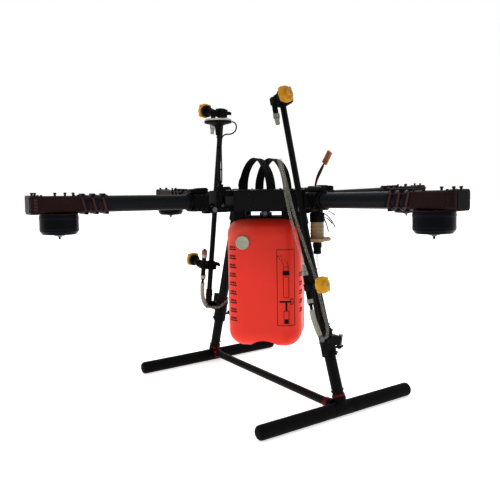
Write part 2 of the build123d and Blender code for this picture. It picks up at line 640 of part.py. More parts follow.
def main():
    """Write every node."""
    os.makedirs("parts", exist_ok=True)
    save("hub_lower_plate", lower_plate())
    save("hub_upper_plate", upper_plate())
    save("hub_side_panels", *side_panels())
    save("flight_controller", rounded_block((-35, -25, PANEL_LOW + 10), (35, 25, PANEL_LOW + 28), 4))
    save("power_board", block((-50, -45, PANEL_LOW), (50, 45, PANEL_LOW + 8)))
    save("arm_root_brackets", *[turned(i, root_bracket()) for i in range(4)])
    save("fold_pins", *[turned(i, fold_pin()) for i in range(4)])
    save("hub_screws", *plate_screws())
    for index, name in enumerate(ARM_NAMES):
        save(f"arm_tube_{name}", turned(index, raised(arm_tube())))
        save(f"arm_knuckle_{name}", *[turned(index, raised(p)) for p in knuckle()])
        save(f"motor_mount_{name}", *[turned(index, raised(p)) for p in motor_mount()])
        save(f"motor_stator_{name}", turned(index, raised(stator())))
        save(f"motor_rotor_{name}", turned(index, raised(motor_rotor())))
    for name, side in SIDES.items():
        save(f"boom_tube_{name}", *boom_tube(side))
        (low_up, low_reach), (high_up, high_reach) = NOZZLES[name]
        low_body = nozzle_body(side, low_up, low_reach, -TEE_REACH, TEE_REACH)
        high_body = nozzle_body(side, high_up, high_reach, UPPER_TEE_LOW, 10)
        barbs = [barb(side, low_up - TEE_REACH, -1), barb(side, low_up + TEE_REACH, 1)]
        barbs.append(barb(side, high_up + UPPER_TEE_LOW, -1))
        save(f"nozzle_bodies_{name}", low_body, high_body, *barbs)
        save(f"nozzle_caps_{name}", nozzle_cap(side, low_up, low_reach), nozzle_cap(side, high_up, high_reach))
    save("legs", *[leg(s) for s in SIDES.values()])
    save("skid_tubes", *[skid_tube(s) for s in SIDES.values()])
    save("leg_sockets", *[leg_socket(s) for s in SIDES.values()])
    save("leg_tees", *[leg_tee(s) for s in SIDES.values()])
    save("skid_foam", *[foam_sleeve(s, way) for s in SIDES.values() for way in (-1, 1)])
    save("crossbar", crossbar())
    save("clamp_collars", *[c for s in SIDES.values() for c in red_collars(s)])
    save("boom_brackets", *[boom_bracket(s) for s in SIDES.values()])
    save("boom_bolts", *[wing_bolt(s) for s in SIDES.values()])
    save("tank", tank())
    save("tank_cap", tank_cap())
    save("tank_neck", tank_neck())
    save("tank_hangers", *tank_hangers())
    save("pump", *pump())
    save("battery_straps", strap_loop(-STRAP_Y), strap_loop(STRAP_Y))
    save("gps_base", *gps_base())
    save("gps_mast", gps_mast())
    save("gps_puck", *gps_puck())
    save("gps_cable", cord(GPS_CABLE, 3.5))
    save("boom_hose_left", cord(LEFT_BOOM_HOSE, HOSE_DIA))
    save("feed_hose", cord(FEED_HOSE, HOSE_DIA))
    save("long_hose_right", cord(RIGHT_LONG_HOSE, HOSE_DIA))
    save("short_hose_right", cord(RIGHT_SHORT_HOSE, HOSE_DIA))
    save("battery_lead_red", cord(RED_LEAD, LEAD_DIA))
    save("battery_lead_black", cord(BLACK_LEAD, LEAD_DIA))
    plug = Plane(origin=(141.2, 103.8, 654.6), z_dir=(0.6, 0, 0.8))
    save("battery_connector", plug * extrude(RectangleRounded(17, 9, 2), 38))


main()
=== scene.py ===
"""Looks of a folding spray drone: finishes for its carried-over frame parts, and the pieces that are
moulded, woven, foamed, cast or flexible, built here in full."""
import json
import math

import bmesh
import bpy
from mathutils import Matrix, Vector


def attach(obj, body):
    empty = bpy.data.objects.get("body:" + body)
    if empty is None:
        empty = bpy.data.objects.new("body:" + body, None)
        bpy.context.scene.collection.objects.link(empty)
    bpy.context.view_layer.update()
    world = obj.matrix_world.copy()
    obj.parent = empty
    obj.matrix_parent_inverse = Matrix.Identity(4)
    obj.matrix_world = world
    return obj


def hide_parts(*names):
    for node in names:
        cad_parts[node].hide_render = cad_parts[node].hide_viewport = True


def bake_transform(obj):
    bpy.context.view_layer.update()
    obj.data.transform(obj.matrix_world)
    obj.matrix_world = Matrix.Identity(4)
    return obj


bl_info = {
    "name": "Spray Drone",
    "version": (1, 0, 0),
    "blender": (4, 5, 0),
    "location": "3D View > Sidebar > Spray Drone",
    "description": "Builds the looks of a folding spray drone round its frame",
    "category": "Object",
}

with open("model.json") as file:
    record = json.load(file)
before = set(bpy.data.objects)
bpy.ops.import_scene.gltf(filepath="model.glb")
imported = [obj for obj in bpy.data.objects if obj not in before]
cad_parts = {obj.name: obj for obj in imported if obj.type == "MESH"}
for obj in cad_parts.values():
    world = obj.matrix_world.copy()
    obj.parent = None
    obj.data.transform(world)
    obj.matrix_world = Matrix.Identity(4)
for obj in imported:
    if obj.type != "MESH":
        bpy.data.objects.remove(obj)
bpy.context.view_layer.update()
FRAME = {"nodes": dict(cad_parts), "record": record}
NODES = FRAME["nodes"]
MM = 0.001

# ---- places taken from the frame ----
ARMS = ("right", "front", "left", "rear")
SIDES = {"right": 1, "left": -1}
PIN_RADIAL = 0.190
PIN_HEIGHT = 0.533
DIHEDRAL = math.radians(0.95)
ARM_AXIS = 0.5545
MOTOR_RADIAL = 0.606
BELL_TOP = ARM_AXIS - 0.025
BELL_BOTTOM = BELL_TOP - 0.045
MOUNT_TOP = ARM_AXIS + 0.0204
HUB_TOP = 0.584
HUB_SIDE = 0.1085
LEAD_EXIT = 0.562
KNUCKLE_SIDE = 0.023
BOOM_PIVOT = (0.295, -0.030, 0.200)
BOOM_LEAN = (-0.228, -0.033, 0.973)
TEE_BESIDE = 0.028
NOZZLES = {"right": ((0.141, 0.068), (0.632, 0.061)), "left": ((0.141, 0.082), (0.632, 0.061))}
TANK_WIDTH, TANK_DEPTH, TANK_LOW, TANK_HIGH, TANK_CORNER = 0.214, 0.175, 0.131, 0.503, 0.050
CAP_ACROSS, CAP_HEIGHT = -0.053, 0.437
SKID_X, SKID_HEIGHT, SKID_FRONT, SKID_REAR, TEE_HALF = 0.320, 0.0185, 0.252, 0.266, 0.032
PUMP_ACROSS = 0.150
GPS_RADIAL = 0.157


def moved(x, y, z):
    """A move by three distances."""
    return Matrix.Translation((x, y, z))


def spun(axis, angle):
    """A turn about one axis."""
    return Matrix.Rotation(angle, 4, axis)


def at_plane(origin, x_dir, z_dir):
    """Matrix of a plane whose local z runs along z_dir."""
    z = Vector(z_dir).normalized()
    x = Vector(x_dir).normalized()
    turn = Matrix((x, z.cross(x), z)).transposed().to_4x4()
    return Matrix.Translation(origin) @ turn


def arm_place(index):
    """From an arm lying along +X to arm number index, tipped up by its dihedral."""
    pin = moved(PIN_RADIAL, 0, PIN_HEIGHT)
    return spun("Z", math.pi / 2 * index) @ pin @ spun("Y", -DIHEDRAL) @ pin.inverted()


def boom_place(side, out=0.0, beside=0.0, up=0.0):
    """At a point of a boom: z runs up it and x points outward."""
    x, y, z = BOOM_LEAN
    pivot = (side * BOOM_PIVOT[0], BOOM_PIVOT[1], BOOM_PIVOT[2])
    return at_plane(pivot, (side * z, 0, -x), (side * x, y, z)) @ moved(out, -side * beside, up)


def leg_place(side, height):
    """On a leg's centre line, with z up the leg."""
    slope = (0.152 - SKID_X) / (0.525 - SKID_HEIGHT)
    at = (side * (SKID_X + slope * (height - SKID_HEIGHT)), 0, height)
    return at_plane(at, (1, 0, -side * slope), (side * slope, 0, 1))


DIAGONAL = spun("Z", math.pi / 4)
OUTWARD = spun("Y", math.pi / 2)  # local z of a turned form points along x
TOWARDS_FRONT = spun("X", math.pi / 2)  # local z points along -y


def facing(side):
    """A turn that points local z along +y for side 1, and along -y for side -1."""
    return spun("X", -side * math.pi / 2)


def slab(side, near, far):
    """Extrusion limits of a plate that lies between two distances out from the arm's axis, on one side."""
    return (near, far) if side < 0 else (-far, -near)


# ---- mesh building ----
class Form:
    """Closed shapes gathered into one mesh."""

    def __init__(self):
        self.bm = bmesh.new()

    def turned(self, place, profile, sides=40, squash=None):
        """A shape turned about local z. Profile points are (radius, height); radius 0 closes an end."""
        rings = []
        for radius, height in profile:
            count = 1 if radius == 0 else sides
            ring = []
            for k in range(count):
                angle = 2 * math.pi * k / sides
                reach = radius * (squash(angle, height) if squash else 1)
                ring.append(self.bm.verts.new(place @ Vector((reach * math.cos(angle),
                                                              reach * math.sin(angle), height))))
            rings.append(ring)
        for low, high in zip(rings, rings[1:]):
            for k in range(sides):
                after = (k + 1) % sides
                if len(low) == 1:
                    self.bm.faces.new((low[0], high[after], high[k]))
                elif len(high) == 1:
                    self.bm.faces.new((low[k], low[after], high[0]))
                else:
                    self.bm.faces.new((low[k], low[after], high[after], high[k]))
        for ring, flip in ((rings[0], True), (rings[-1], False)):
            if len(ring) > 1:
                self.bm.faces.new(ring[::-1] if flip else ring)
        return self

    def hoop(self, place, section, sides=40, squash=None):
        """A ring turned about local z, from the points round its section."""
        return self.turned(place, section + section[:1], sides, squash)

    def extruded(self, place, outline, low, high):
        """A flat outline given thickness along local z."""
        bottom = [self.bm.verts.new(place @ Vector((x, y, low))) for x, y in outline]
        top = [self.bm.verts.new(place @ Vector((x, y, high))) for x, y in outline]
        self.bm.faces.new(bottom[::-1])
        self.bm.faces.new(top)
        for k in range(len(outline)):
            after = (k + 1) % len(outline)
            self.bm.faces.new((bottom[k], bottom[after], top[after], top[k]))
        return self

    def block(self, place, low, high):
        """A box between two corners."""
        outline = ((low[0], low[1]), (high[0], low[1]), (high[0], high[1]), (low[0], high[1]))
        return self.extruded(place, outline, low[2], high[2])

    def band(self, stations, thick):
        """A strip through stations of (point, across, normal), with the given thickness."""
        rows = []
        for point, across, normal in stations:
            corners = (point - across, point + across, point + across + normal * thick,
                       point - across + normal * thick)
            rows.append([self.bm.verts.new(c) for c in corners])
        self.bm.faces.new(rows[0][::-1])
        self.bm.faces.new(rows[-1])
        for low, high in zip(rows, rows[1:]):
            for k in range(4):
                after = (k + 1) % 4
                self.bm.faces.new((low[k], low[after], high[after], high[k]))
        return self

    def piped(self, line, radius, sides=20):
        """A round rod along a line of points."""
        rings = []
        side_way = Vector((0, 1, 0))
        for k, point in enumerate(line):
            ahead = (line[min(k + 1, len(line) - 1)] - line[max(k - 1, 0)]).normalized()
            side_way = (side_way - ahead * side_way.dot(ahead)).normalized()
            other = ahead.cross(side_way)
            rings.append([self.bm.verts.new(point + (side_way * math.cos(a) + other * math.sin(a)) * radius)
                          for a in (2 * math.pi * s / sides for s in range(sides))])
        self.bm.faces.new(rings[0][::-1])
        self.bm.faces.new(rings[-1])
        for low, high in zip(rings, rings[1:]):
            for s in range(sides):
                self.bm.faces.new((low[s], low[(s + 1) % sides], high[(s + 1) % sides], high[s]))
        return self

    def made(self, name, body, slot, finish=None, bevel=0.0):
        """Finish the mesh as one named piece that rides on a body. Its slot's finish is used if none is given."""
        bmesh.ops.recalc_face_normals(self.bm, faces=self.bm.faces[:])
        mesh = bpy.data.meshes.new(name)
        self.bm.to_mesh(mesh)
        self.bm.free()
        piece = bpy.data.objects.new(name, mesh)
        bpy.context.scene.collection.objects.link(piece)
        if bevel:
            edge = piece.modifiers.new("edge rounding", "BEVEL")
            edge.width = bevel
            edge.segments = 2
            edge.limit_method = "ANGLE"
            edge.angle_limit = math.radians(40)
            edge.harden_normals = True
        for face in mesh.polygons:
            face.use_smooth = True
        mesh.set_sharp_from_angle(angle=math.radians(38))
        mesh.materials.append(FINISHES[finish or slot])
        if body:
            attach(piece, body)
        return piece


def rounded(width, depth, radius, steps=6):
    """Outline of a rectangle with round corners, centred on the origin."""
    points = []
    for k, (sx, sy) in enumerate(((1, 1), (-1, 1), (-1, -1), (1, -1))):
        for s in range(steps + 1):
            angle = math.pi / 2 * (k + s / steps)
            points.append((sx * (width / 2 - radius) + radius * math.cos(angle),
                           sy * (depth / 2 - radius) + radius * math.sin(angle)))
    return points


def knurl(count, depth):
    """Ribs round a turned part, as a change of its radius."""
    return lambda angle, height: 1 + depth * (0.5 + 0.5 * math.copysign(1, math.cos(count * angle)))


# radius and height of the button heads
BRACKET_HEAD = 0.0034, 0.0026
CLAMP_HEAD = 0.0032, 0.0026
PLATE_HEAD = 0.0030, 0.0022
TEE_HEAD = 0.0028, 0.0022
PANEL_HEAD = 0.0026, 0.0018
SMALL_HEAD = 0.0022, 0.0018


def screw_head(form, place, radius, height):
    """A button head with a socket sunk in it."""
    form.turned(place, [(0, 0), (radius, 0), (radius, height * 0.35), (radius * 0.8, height * 0.85),
                        (radius * 0.5, height),
                        (radius * 0.45, height * 0.45), (0, height * 0.4)], sides=18)


# ---- materials ----
def linear(code):
    """A colour from its sRGB hex code, as the linear values that shaders use."""
    values = [int(code[k:k + 2], 16) / 255 for k in (1, 3, 5)]
    return [c / 12.92 if c <= 0.04045 else ((c + 0.055) / 1.055) ** 2.4 for c in values] + [1.0]


def add(tree, kind, settings=None, **links):
    """Add a node, set its properties and its sockets, and link the sockets given as node outputs."""
    node = tree.nodes.new(kind)
    for key, value in (settings or {}).items():
        setattr(node, key, value)
    for key, value in links.items():
        name = key.replace("_", " ")
        socket = node.inputs[int(key[1:])] if key[0] == "i" and key[1:].isdigit() else node.inputs[name]
        if isinstance(value, bpy.types.NodeSocket):
            tree.links.new(value, socket)
        else:
            socket.default_value = value
    return node


def start_material(name):
    """An empty node material, its output and the coordinates that all its patterns use."""
    material = bpy.data.materials.new(name)
    material.use_nodes = True
    tree = material.node_tree
    tree.nodes.clear()
    place = add(tree, "ShaderNodeTexCoord").outputs["Object"]
    return material, tree, place


def finish_material(tree, shader, color, rough, bump=None):
    """Link colour, roughness and bump to the shader, and the shader to the output."""
    tree.links.new(color, shader.inputs["Base Color"])
    tree.links.new(rough, shader.inputs["Roughness"])
    if bump:
        tree.links.new(bump, shader.inputs["Normal"])
    add(tree, "ShaderNodeOutputMaterial", Surface=shader.outputs[0])


GLOSS_SPREAD = 0.08


def grained(name, light, dark, rough, grain_mm, bump=0.1, metallic=0.0, scratches=0.0, subsurface=0.0,
            shine=0.5):
    """A moulded, cast or anodised surface: grain in bump, and a slow change of tone and gloss."""
    material, tree, place = start_material(name)
    grain = add(tree, "ShaderNodeTexNoise", Vector=place, Scale=1000 / grain_mm, Detail=3.0)
    slow = add(tree, "ShaderNodeTexNoise", Vector=place, Scale=9.0, Detail=5.0, Roughness=0.6)
    wear = add(tree, "ShaderNodeMapRange", Value=slow.outputs["Fac"], From_Min=0.3, From_Max=0.7)
    tone = add(tree, "ShaderNodeMix", {"data_type": "RGBA"}, i0=wear.outputs[0], i6=linear(dark),
               i7=linear(light))
    gloss = add(tree, "ShaderNodeMapRange", Value=slow.outputs["Fac"], From_Min=0.25, From_Max=0.75,
                To_Min=max(0.02, rough - GLOSS_SPREAD), To_Max=rough + GLOSS_SPREAD)
    height = grain.outputs["Fac"]
    if scratches:
        stretch = add(tree, "ShaderNodeMapping", Vector=place, Scale=(40, 900, 900))
        lines = add(tree, "ShaderNodeTexNoise", Vector=stretch.outputs[0], Scale=1.0, Detail=2.0)
        height = add(tree, "ShaderNodeMix", i0=scratches, i2=height, i3=lines.outputs["Fac"]).outputs[0]
    relief = add(tree, "ShaderNodeBump", Height=height, Strength=bump, Distance=grain_mm * MM * 0.3)
    shader = add(tree, "ShaderNodeBsdfPrincipled", Metallic=metallic, IOR=1.5)
    shader.inputs["Specular IOR Level"].default_value = shine
    shader.inputs["Subsurface Weight"].default_value = subsurface
    shader.inputs["Subsurface Scale"].default_value = 0.01
    finish_material(tree, shader, tone.outputs[2], gloss.outputs[0], relief.outputs[0])
    return material


def carbon_twill(name, light, dark, rough, thread_mm):
    """Carbon fibre cloth under clear resin: a diagonal weave that shows faintly as light and dark threads."""
    material, tree, place = start_material(name)
    lean = add(tree, "ShaderNodeMapping", Vector=place, Rotation=(0.0, 0.0, math.pi / 4))
    weave = add(tree, "ShaderNodeTexChecker", Vector=lean.outputs[0], Scale=1000 / thread_mm,
                Color1=linear(light), Color2=linear(dark))
    slow = add(tree, "ShaderNodeTexNoise", Vector=place, Scale=14.0, Detail=4.0)
    gloss = add(tree, "ShaderNodeMapRange", Value=slow.outputs["Fac"], From_Min=0.25, From_Max=0.75,
                To_Min=rough - 0.07, To_Max=rough + 0.07)
    dust = add(tree, "ShaderNodeMapRange", Value=slow.outputs["Fac"], From_Min=0.5, From_Max=0.8, To_Max=0.12)
    tone = add(tree, "ShaderNodeMix", {"data_type": "RGBA"}, i0=dust.outputs[0], i6=weave.outputs["Color"],
               i7=linear("#26262A"))
    relief = add(tree, "ShaderNodeBump", Height=weave.outputs["Fac"], Strength=0.15, Distance=0.0002)
    shader = add(tree, "ShaderNodeBsdfPrincipled", Metallic=0.0, IOR=1.55)
    shader.inputs["Specular IOR Level"].default_value = 0.1
    shader.inputs["Coat Weight"].default_value = 0.04
    shader.inputs["Coat Roughness"].default_value = 0.2
    finish_material(tree, shader, tone.outputs[2], gloss.outputs[0], relief.outputs[0])
    return material


def wound_carbon(name, light, dark, rough):
    """Roll-wrapped carbon tube, sanded satin: fine rings round the tube where the tape overlapped."""
    material, tree, place = start_material(name)
    slow = add(tree, "ShaderNodeTexNoise", Vector=place, Scale=18.0, Detail=6.0, Roughness=0.65)
    tape = add(tree, "ShaderNodeTexWave", {"wave_type": "BANDS", "bands_direction": "DIAGONAL"}, Vector=place,
               Scale=60.0, Distortion=1.5, Detail=2.0)
    both = add(tree, "ShaderNodeMix", i0=0.35, i2=slow.outputs["Fac"], i3=tape.outputs["Fac"])
    tone = add(tree, "ShaderNodeMix", {"data_type": "RGBA"}, i0=both.outputs[0], i6=linear(dark),
               i7=linear(light))
    gloss = add(tree, "ShaderNodeMapRange", Value=slow.outputs["Fac"], To_Min=rough - 0.1, To_Max=rough + 0.1)
    relief = add(tree, "ShaderNodeBump", Height=both.outputs[0], Strength=0.12, Distance=0.0002)
    shader = add(tree, "ShaderNodeBsdfPrincipled", Metallic=0.0, IOR=1.5)
    shader.inputs["Specular IOR Level"].default_value = 0.15
    finish_material(tree, shader, tone.outputs[2], gloss.outputs[0], relief.outputs[0])
    return material


def woven_webbing(name, light, dark, thread_mm):
    """Nylon strap webbing: crossed threads with a dull sheen, a little coarser than real."""
    material, tree, place = start_material(name)
    threads = add(tree, "ShaderNodeTexChecker", Vector=place, Scale=1000 / thread_mm,
                  Color1=linear(light), Color2=linear(dark))
    ribs = add(tree, "ShaderNodeTexWave", {"wave_type": "BANDS", "bands_direction": "Y"}, Vector=place,
               Scale=220.0, Distortion=0.4)
    fuzz = add(tree, "ShaderNodeTexNoise", Vector=place, Scale=700.0, Detail=3.0)
    height = add(tree, "ShaderNodeMix", i0=0.5, i2=threads.outputs["Fac"], i3=ribs.outputs["Fac"])
    relief = add(tree, "ShaderNodeBump", Height=height.outputs[0], Strength=0.6, Distance=0.0006)
    tone = add(tree, "ShaderNodeMix", {"data_type": "RGBA"}, i0=fuzz.outputs["Fac"], i6=linear(dark),
               i7=threads.outputs["Color"])
    gloss = add(tree, "ShaderNodeMapRange", Value=fuzz.outputs["Fac"], To_Min=0.72, To_Max=0.95)
    shader = add(tree, "ShaderNodeBsdfPrincipled", Metallic=0.0)
    shader.inputs["Specular IOR Level"].default_value = 0.15
    shader.inputs["Sheen Weight"].default_value = 0.08
    shader.inputs["Sheen Roughness"].default_value = 0.4
    finish_material(tree, shader, tone.outputs[2], gloss.outputs[0], relief.outputs[0])
    return material


def pored_foam(name, light, dark):
    """Closed-cell NBR foam: soft, dull, with small open pores and rubbed grey high spots."""
    material, tree, place = start_material(name)
    pores = add(tree, "ShaderNodeTexVoronoi", Vector=place, Scale=420.0)
    slow = add(tree, "ShaderNodeTexNoise", Vector=place, Scale=25.0, Detail=6.0)
    tone = add(tree, "ShaderNodeMix", {"data_type": "RGBA"}, i0=slow.outputs["Fac"], i6=linear(dark),
               i7=linear(light))
    gloss = add(tree, "ShaderNodeMapRange", Value=slow.outputs["Fac"], To_Min=0.75, To_Max=1.0)
    mixed = add(tree, "ShaderNodeMix", i0=0.6, i2=slow.outputs["Fac"], i3=pores.outputs["Distance"])
    relief = add(tree, "ShaderNodeBump", Height=mixed.outputs[0], Strength=0.35, Distance=0.0008)
    shader = add(tree, "ShaderNodeBsdfPrincipled", Metallic=0.0)
    shader.inputs["Specular IOR Level"].default_value = 0.15
    shader.inputs["Sheen Weight"].default_value = 0.05
    finish_material(tree, shader, tone.outputs[2], gloss.outputs[0], relief.outputs[0])
    return material


def blown_tank(name, deep, bright, pale):
    """Blow-moulded red polyethylene: light comes through it, it is darker towards the top, it has a faint painted
    glow, and a painted highlight makes its shoulder paler.
    """
    material, tree, place = start_material(name)
    split = add(tree, "ShaderNodeSeparateXYZ", Vector=place)
    rise = add(tree, "ShaderNodeMapRange", Value=split.outputs["Z"], From_Min=TANK_LOW, From_Max=TANK_HIGH)
    cloud = add(tree, "ShaderNodeTexNoise", Vector=place, Scale=7.0, Detail=3.0)
    wobble = add(tree, "ShaderNodeMath", {"operation": "MULTIPLY_ADD"}, i0=cloud.outputs["Fac"], i1=0.35,
                 i2=rise.outputs[0])
    ramp = add(tree, "ShaderNodeValToRGB", Fac=wobble.outputs[0])
    stops = ramp.color_ramp.elements
    stops[0].position, stops[0].color = 0.1, linear(bright)
    stops[1].position, stops[1].color = 1.15, linear(deep)
    middle = stops.new(0.7)
    middle.color = linear(bright)
    # painted highlight: the front-left shoulder near the top is mixed towards pale pink
    across = add(tree, "ShaderNodeMath", {"operation": "ADD"}, i0=split.outputs["X"], i1=split.outputs["Y"])
    corner = add(tree, "ShaderNodeMapRange", Value=across.outputs[0], From_Min=-0.02, From_Max=-0.14,
                 To_Max=0.55)
    top = add(tree, "ShaderNodeMapRange", Value=split.outputs["Z"], From_Min=0.40, From_Max=0.49)
    shoulder = add(tree, "ShaderNodeMath", {"operation": "MULTIPLY"}, i0=corner.outputs[0], i1=top.outputs[0])
    tone = add(tree, "ShaderNodeMix", {"data_type": "RGBA"}, i0=shoulder.outputs[0], i6=ramp.outputs["Color"],
               i7=linear(pale))
    grain = add(tree, "ShaderNodeTexNoise", Vector=place, Scale=420.0, Detail=2.0)
    flow = add(tree, "ShaderNodeMix", i0=0.5, i2=cloud.outputs["Fac"], i3=grain.outputs["Fac"])
    relief = add(tree, "ShaderNodeBump", Height=flow.outputs[0], Strength=0.12, Distance=0.001)
    gloss = add(tree, "ShaderNodeMapRange", Value=cloud.outputs["Fac"], To_Min=0.3, To_Max=0.46)
    shader = add(tree, "ShaderNodeBsdfPrincipled", Metallic=0.0, IOR=1.51)
    shader.inputs["Specular IOR Level"].default_value = 0.3
    shader.inputs["Subsurface Weight"].default_value = 0.15
    shader.inputs["Subsurface Scale"].default_value = 0.008
    # painted glow: the tank emits a little of its bright red, though it is no lamp
    shader.inputs["Emission Color"].default_value = linear(bright)
    shader.inputs["Emission Strength"].default_value = 0.13
    finish_material(tree, shader, tone.outputs[2], gloss.outputs[0], relief.outputs[0])
    return material


def clear_vinyl(name, tint, rough, cover):
    """Clear PVC hose, slightly yellowed and scuffed: see-through with a pale body."""
    material, tree, place = start_material(name)
    haze = add(tree, "ShaderNodeTexNoise", Vector=place, Scale=22.0, Detail=2.0)
    tone = add(tree, "ShaderNodeMix", {"data_type": "RGBA"}, i0=haze.outputs["Fac"], i6=linear(tint),
               i7=linear("#B4B2A8"))
    gloss = add(tree, "ShaderNodeMapRange", Value=haze.outputs["Fac"], To_Min=rough, To_Max=rough + 0.1)
    relief = add(tree, "ShaderNodeBump", Height=haze.outputs["Fac"], Strength=0.03, Distance=0.0005)
    shader = add(tree, "ShaderNodeBsdfPrincipled", IOR=1.3, Alpha=cover)
    finish_material(tree, shader, tone.outputs[2], gloss.outputs[0], relief.outputs[0])
    return material


def make_finishes():
    """Every material of the drone, named for what it is and how it was made."""
    m = {}
    # CNC-cut twill plate: near black, a weave that only shows where light grazes
    m["carbon_plate"] = carbon_twill("carbon fibre plate, cut", "#151517", "#0A0A0B", 0.38, 2.5)
    # wrapped tubes read slate grey where they face the sky
    m["carbon_tube"] = wound_carbon("carbon fibre tube, wrapped", "#14171B", "#07080A", 0.4)
    m["leg_tube"] = wound_carbon("carbon fibre tube, black resin", "#0C0D0F", "#050506", 0.45)
    # machined blocks, black dye in the oxide: satin, with paler rubbed corners
    m["black_aluminium"] = grained("aluminium, black anodised", "#121214", "#070708", 0.38, 0.4, 0.12,
                                   metallic=0.4,
                                   shine=0.12)
    # the motor ends are dyed a dull plum brown
    m["tinted_aluminium"] = grained("aluminium, plum anodised", "#331819", "#1B0B0B", 0.36, 0.4, 0.12,
                                    metallic=0.4,
                                    shine=0.2)
    m["end_cap"] = grained("aluminium, charcoal anodised", "#17171B", "#0A0A0C", 0.36, 0.4, 0.12,
                           metallic=0.45, shine=0.2)
    # painted light: blue-black with a painted blue sheen, for the ribs' shaded faces and the motor bands
    m["painted_blue_sheen"] = grained("aluminium, black with painted blue sheen", "#141830", "#080A14", 0.33, 0.4, 0.1,
                            metallic=0.5,
                            shine=0.2)
    # painted highlight: lit plum, for the ribs' faces towards the light and some end strips
    m["painted_highlight_plum"] = grained("aluminium, plum with painted highlight", "#5A3A38", "#35201F", 0.34, 0.4, 0.1, metallic=0.4,
                            shine=0.25)
    # bare fittings: bright, brushed along
    m["steel"] = grained("stainless steel, brushed", "#85858A", "#55565C", 0.3, 0.3, 0.15, metallic=1.0,
                         scratches=0.6)
    m["barb_silver"] = grained("brass, nickel plated", "#B9B7AC", "#7D7B72", 0.28, 0.4, 0.1, metallic=0.7,
                               shine=0.5)
    # screws wear a black oxide, so only their rims catch light
    m["black_screw"] = grained("steel, black oxide", "#3A3A3E", "#1C1C1E", 0.34, 0.3, 0.1, metallic=0.9)
    m["motor_black"] = grained("aluminium, black anodised bell", "#0C0D14", "#040508", 0.32, 0.35, 0.1,
                               metallic=0.4,
                               shine=0.15)
    m["copper_winding"] = grained("copper wire, enamelled", "#7A4527", "#3B1D0E", 0.32, 1.0, 0.6,
                                  metallic=0.9)
    # glass-filled nylon: dull black with a dry grain
    m["nylon_black"] = grained("nylon, glass filled and moulded", "#0A0A0B", "#040405", 0.55, 0.8, 0.22,
                               shine=0.12)
    m["foam_black"] = pored_foam("nitrile foam, closed cell", "#0F0F10", "#050506")
    m["red_anodised"] = grained("aluminium, red anodised", "#8E1E10", "#4A0C06", 0.28, 0.4, 0.1, metallic=0.7,
                                shine=0.3)
    # the last colour is the painted highlight on the tank's shoulder
    m["tank_red"] = blown_tank("polyethylene, blow moulded red", "#C83424", "#DE3B2A", "#E5907F")
    m["cap_white"] = grained("polypropylene, moulded white", "#BDBBA9", "#98978A", 0.4, 0.7, 0.12,
                             subsurface=0.1, shine=0.3)
    m["pump_cream"] = grained("polyester resin, cast cream", "#B9A486", "#8E7A5E", 0.48, 0.9, 0.2, shine=0.3)
    m["webbing_black"] = woven_webbing("nylon webbing, woven", "#161617", "#050506", 1.6)
    m["yellow_plastic"] = grained("acetal, moulded yellow", "#E8B424", "#B07A14", 0.34, 0.6, 0.12, shine=0.35)
    m["clear_hose"] = clear_vinyl("vinyl hose, extruded clear", "#8F8D84", 0.2, 0.26)
    m["hose_sleeve"] = clear_vinyl("vinyl sleeve, extruded milky", "#A29F8E", 0.25, 0.8)
    m["pink_cap"] = grained("silicone, moulded pink", "#A87268", "#7E4A42", 0.42, 0.7, 0.1, subsurface=0.2,
                            shine=0.3)
    m["cable_black"] = grained("silicone sheath, black", "#0D0D0E", "#050506", 0.5, 0.7, 0.15, shine=0.2)
    m["cable_red"] = grained("silicone sheath, red", "#5E0F0B", "#2E0504", 0.46, 0.7, 0.15, shine=0.2)
    m["connector_amber"] = grained("nylon, moulded amber", "#AE7440", "#77441D", 0.4, 0.6, 0.12, shine=0.3)
    m["circuit_green"] = grained("fibreglass board, solder masked", "#0F4425", "#072616", 0.3, 1.2, 0.15)
    m["case_grey"] = grained("ABS, moulded grey", "#141416", "#0A0A0B", 0.5, 0.8, 0.2, shine=0.12)
    m["mark_black"] = grained("ink, printed black", "#180706", "#0C0403", 0.6, 0.5, 0.05, shine=0.2)
    # a painted highlight grey, used for the right arm's catch only
    m["painted_highlight_grey"] = grained("black aluminium, painted highlight grey", "#44473F", "#272A26", 0.42, 0.8, 0.25, metallic=0.5,
                             shine=0.3)
    m["dark_red_band"] = grained("rubber band, dark red", "#3A0C0A", "#1C0504", 0.6, 0.8, 0.2, shine=0.2)
    m["zip_tie"] = grained("nylon tie, moulded", "#1F1F21", "#0E0E0F", 0.45, 0.5, 0.15, shine=0.2)
    return m


FINISHES = make_finishes()

# which finish each carried-over frame part takes; parts not named here take their record slot's finish
FRAME_FINISH = {"legs": "leg_tube", "boom_tube_left": "leg_tube", "boom_tube_right": "leg_tube",
                "crossbar": "leg_tube", "skid_tubes": "leg_tube", "hub_screws": "black_screw"}


# ---- what a user can change ----
class DroneSizes(bpy.types.PropertyGroup):
    """Sizes of the pieces built here."""

    hose: bpy.props.FloatProperty(name="Hose diameter", description="Outside diameter of the spray hoses",
                                  default=0.008, min=0.004, max=0.012, unit="LENGTH")
    lead: bpy.props.FloatProperty(name="Lead diameter", description="Diameter of each battery lead",
                                  default=0.0045, min=0.002, max=0.008, unit="LENGTH")
    cable: bpy.props.FloatProperty(name="Receiver cable diameter",
                                   description="Diameter of the receiver's cable",
                                   default=0.0035, min=0.002, max=0.006, unit="LENGTH")
    strap: bpy.props.FloatProperty(name="Strap width", description="Width of the battery straps' webbing",
                                   default=0.030, min=0.015, max=0.034, unit="LENGTH")


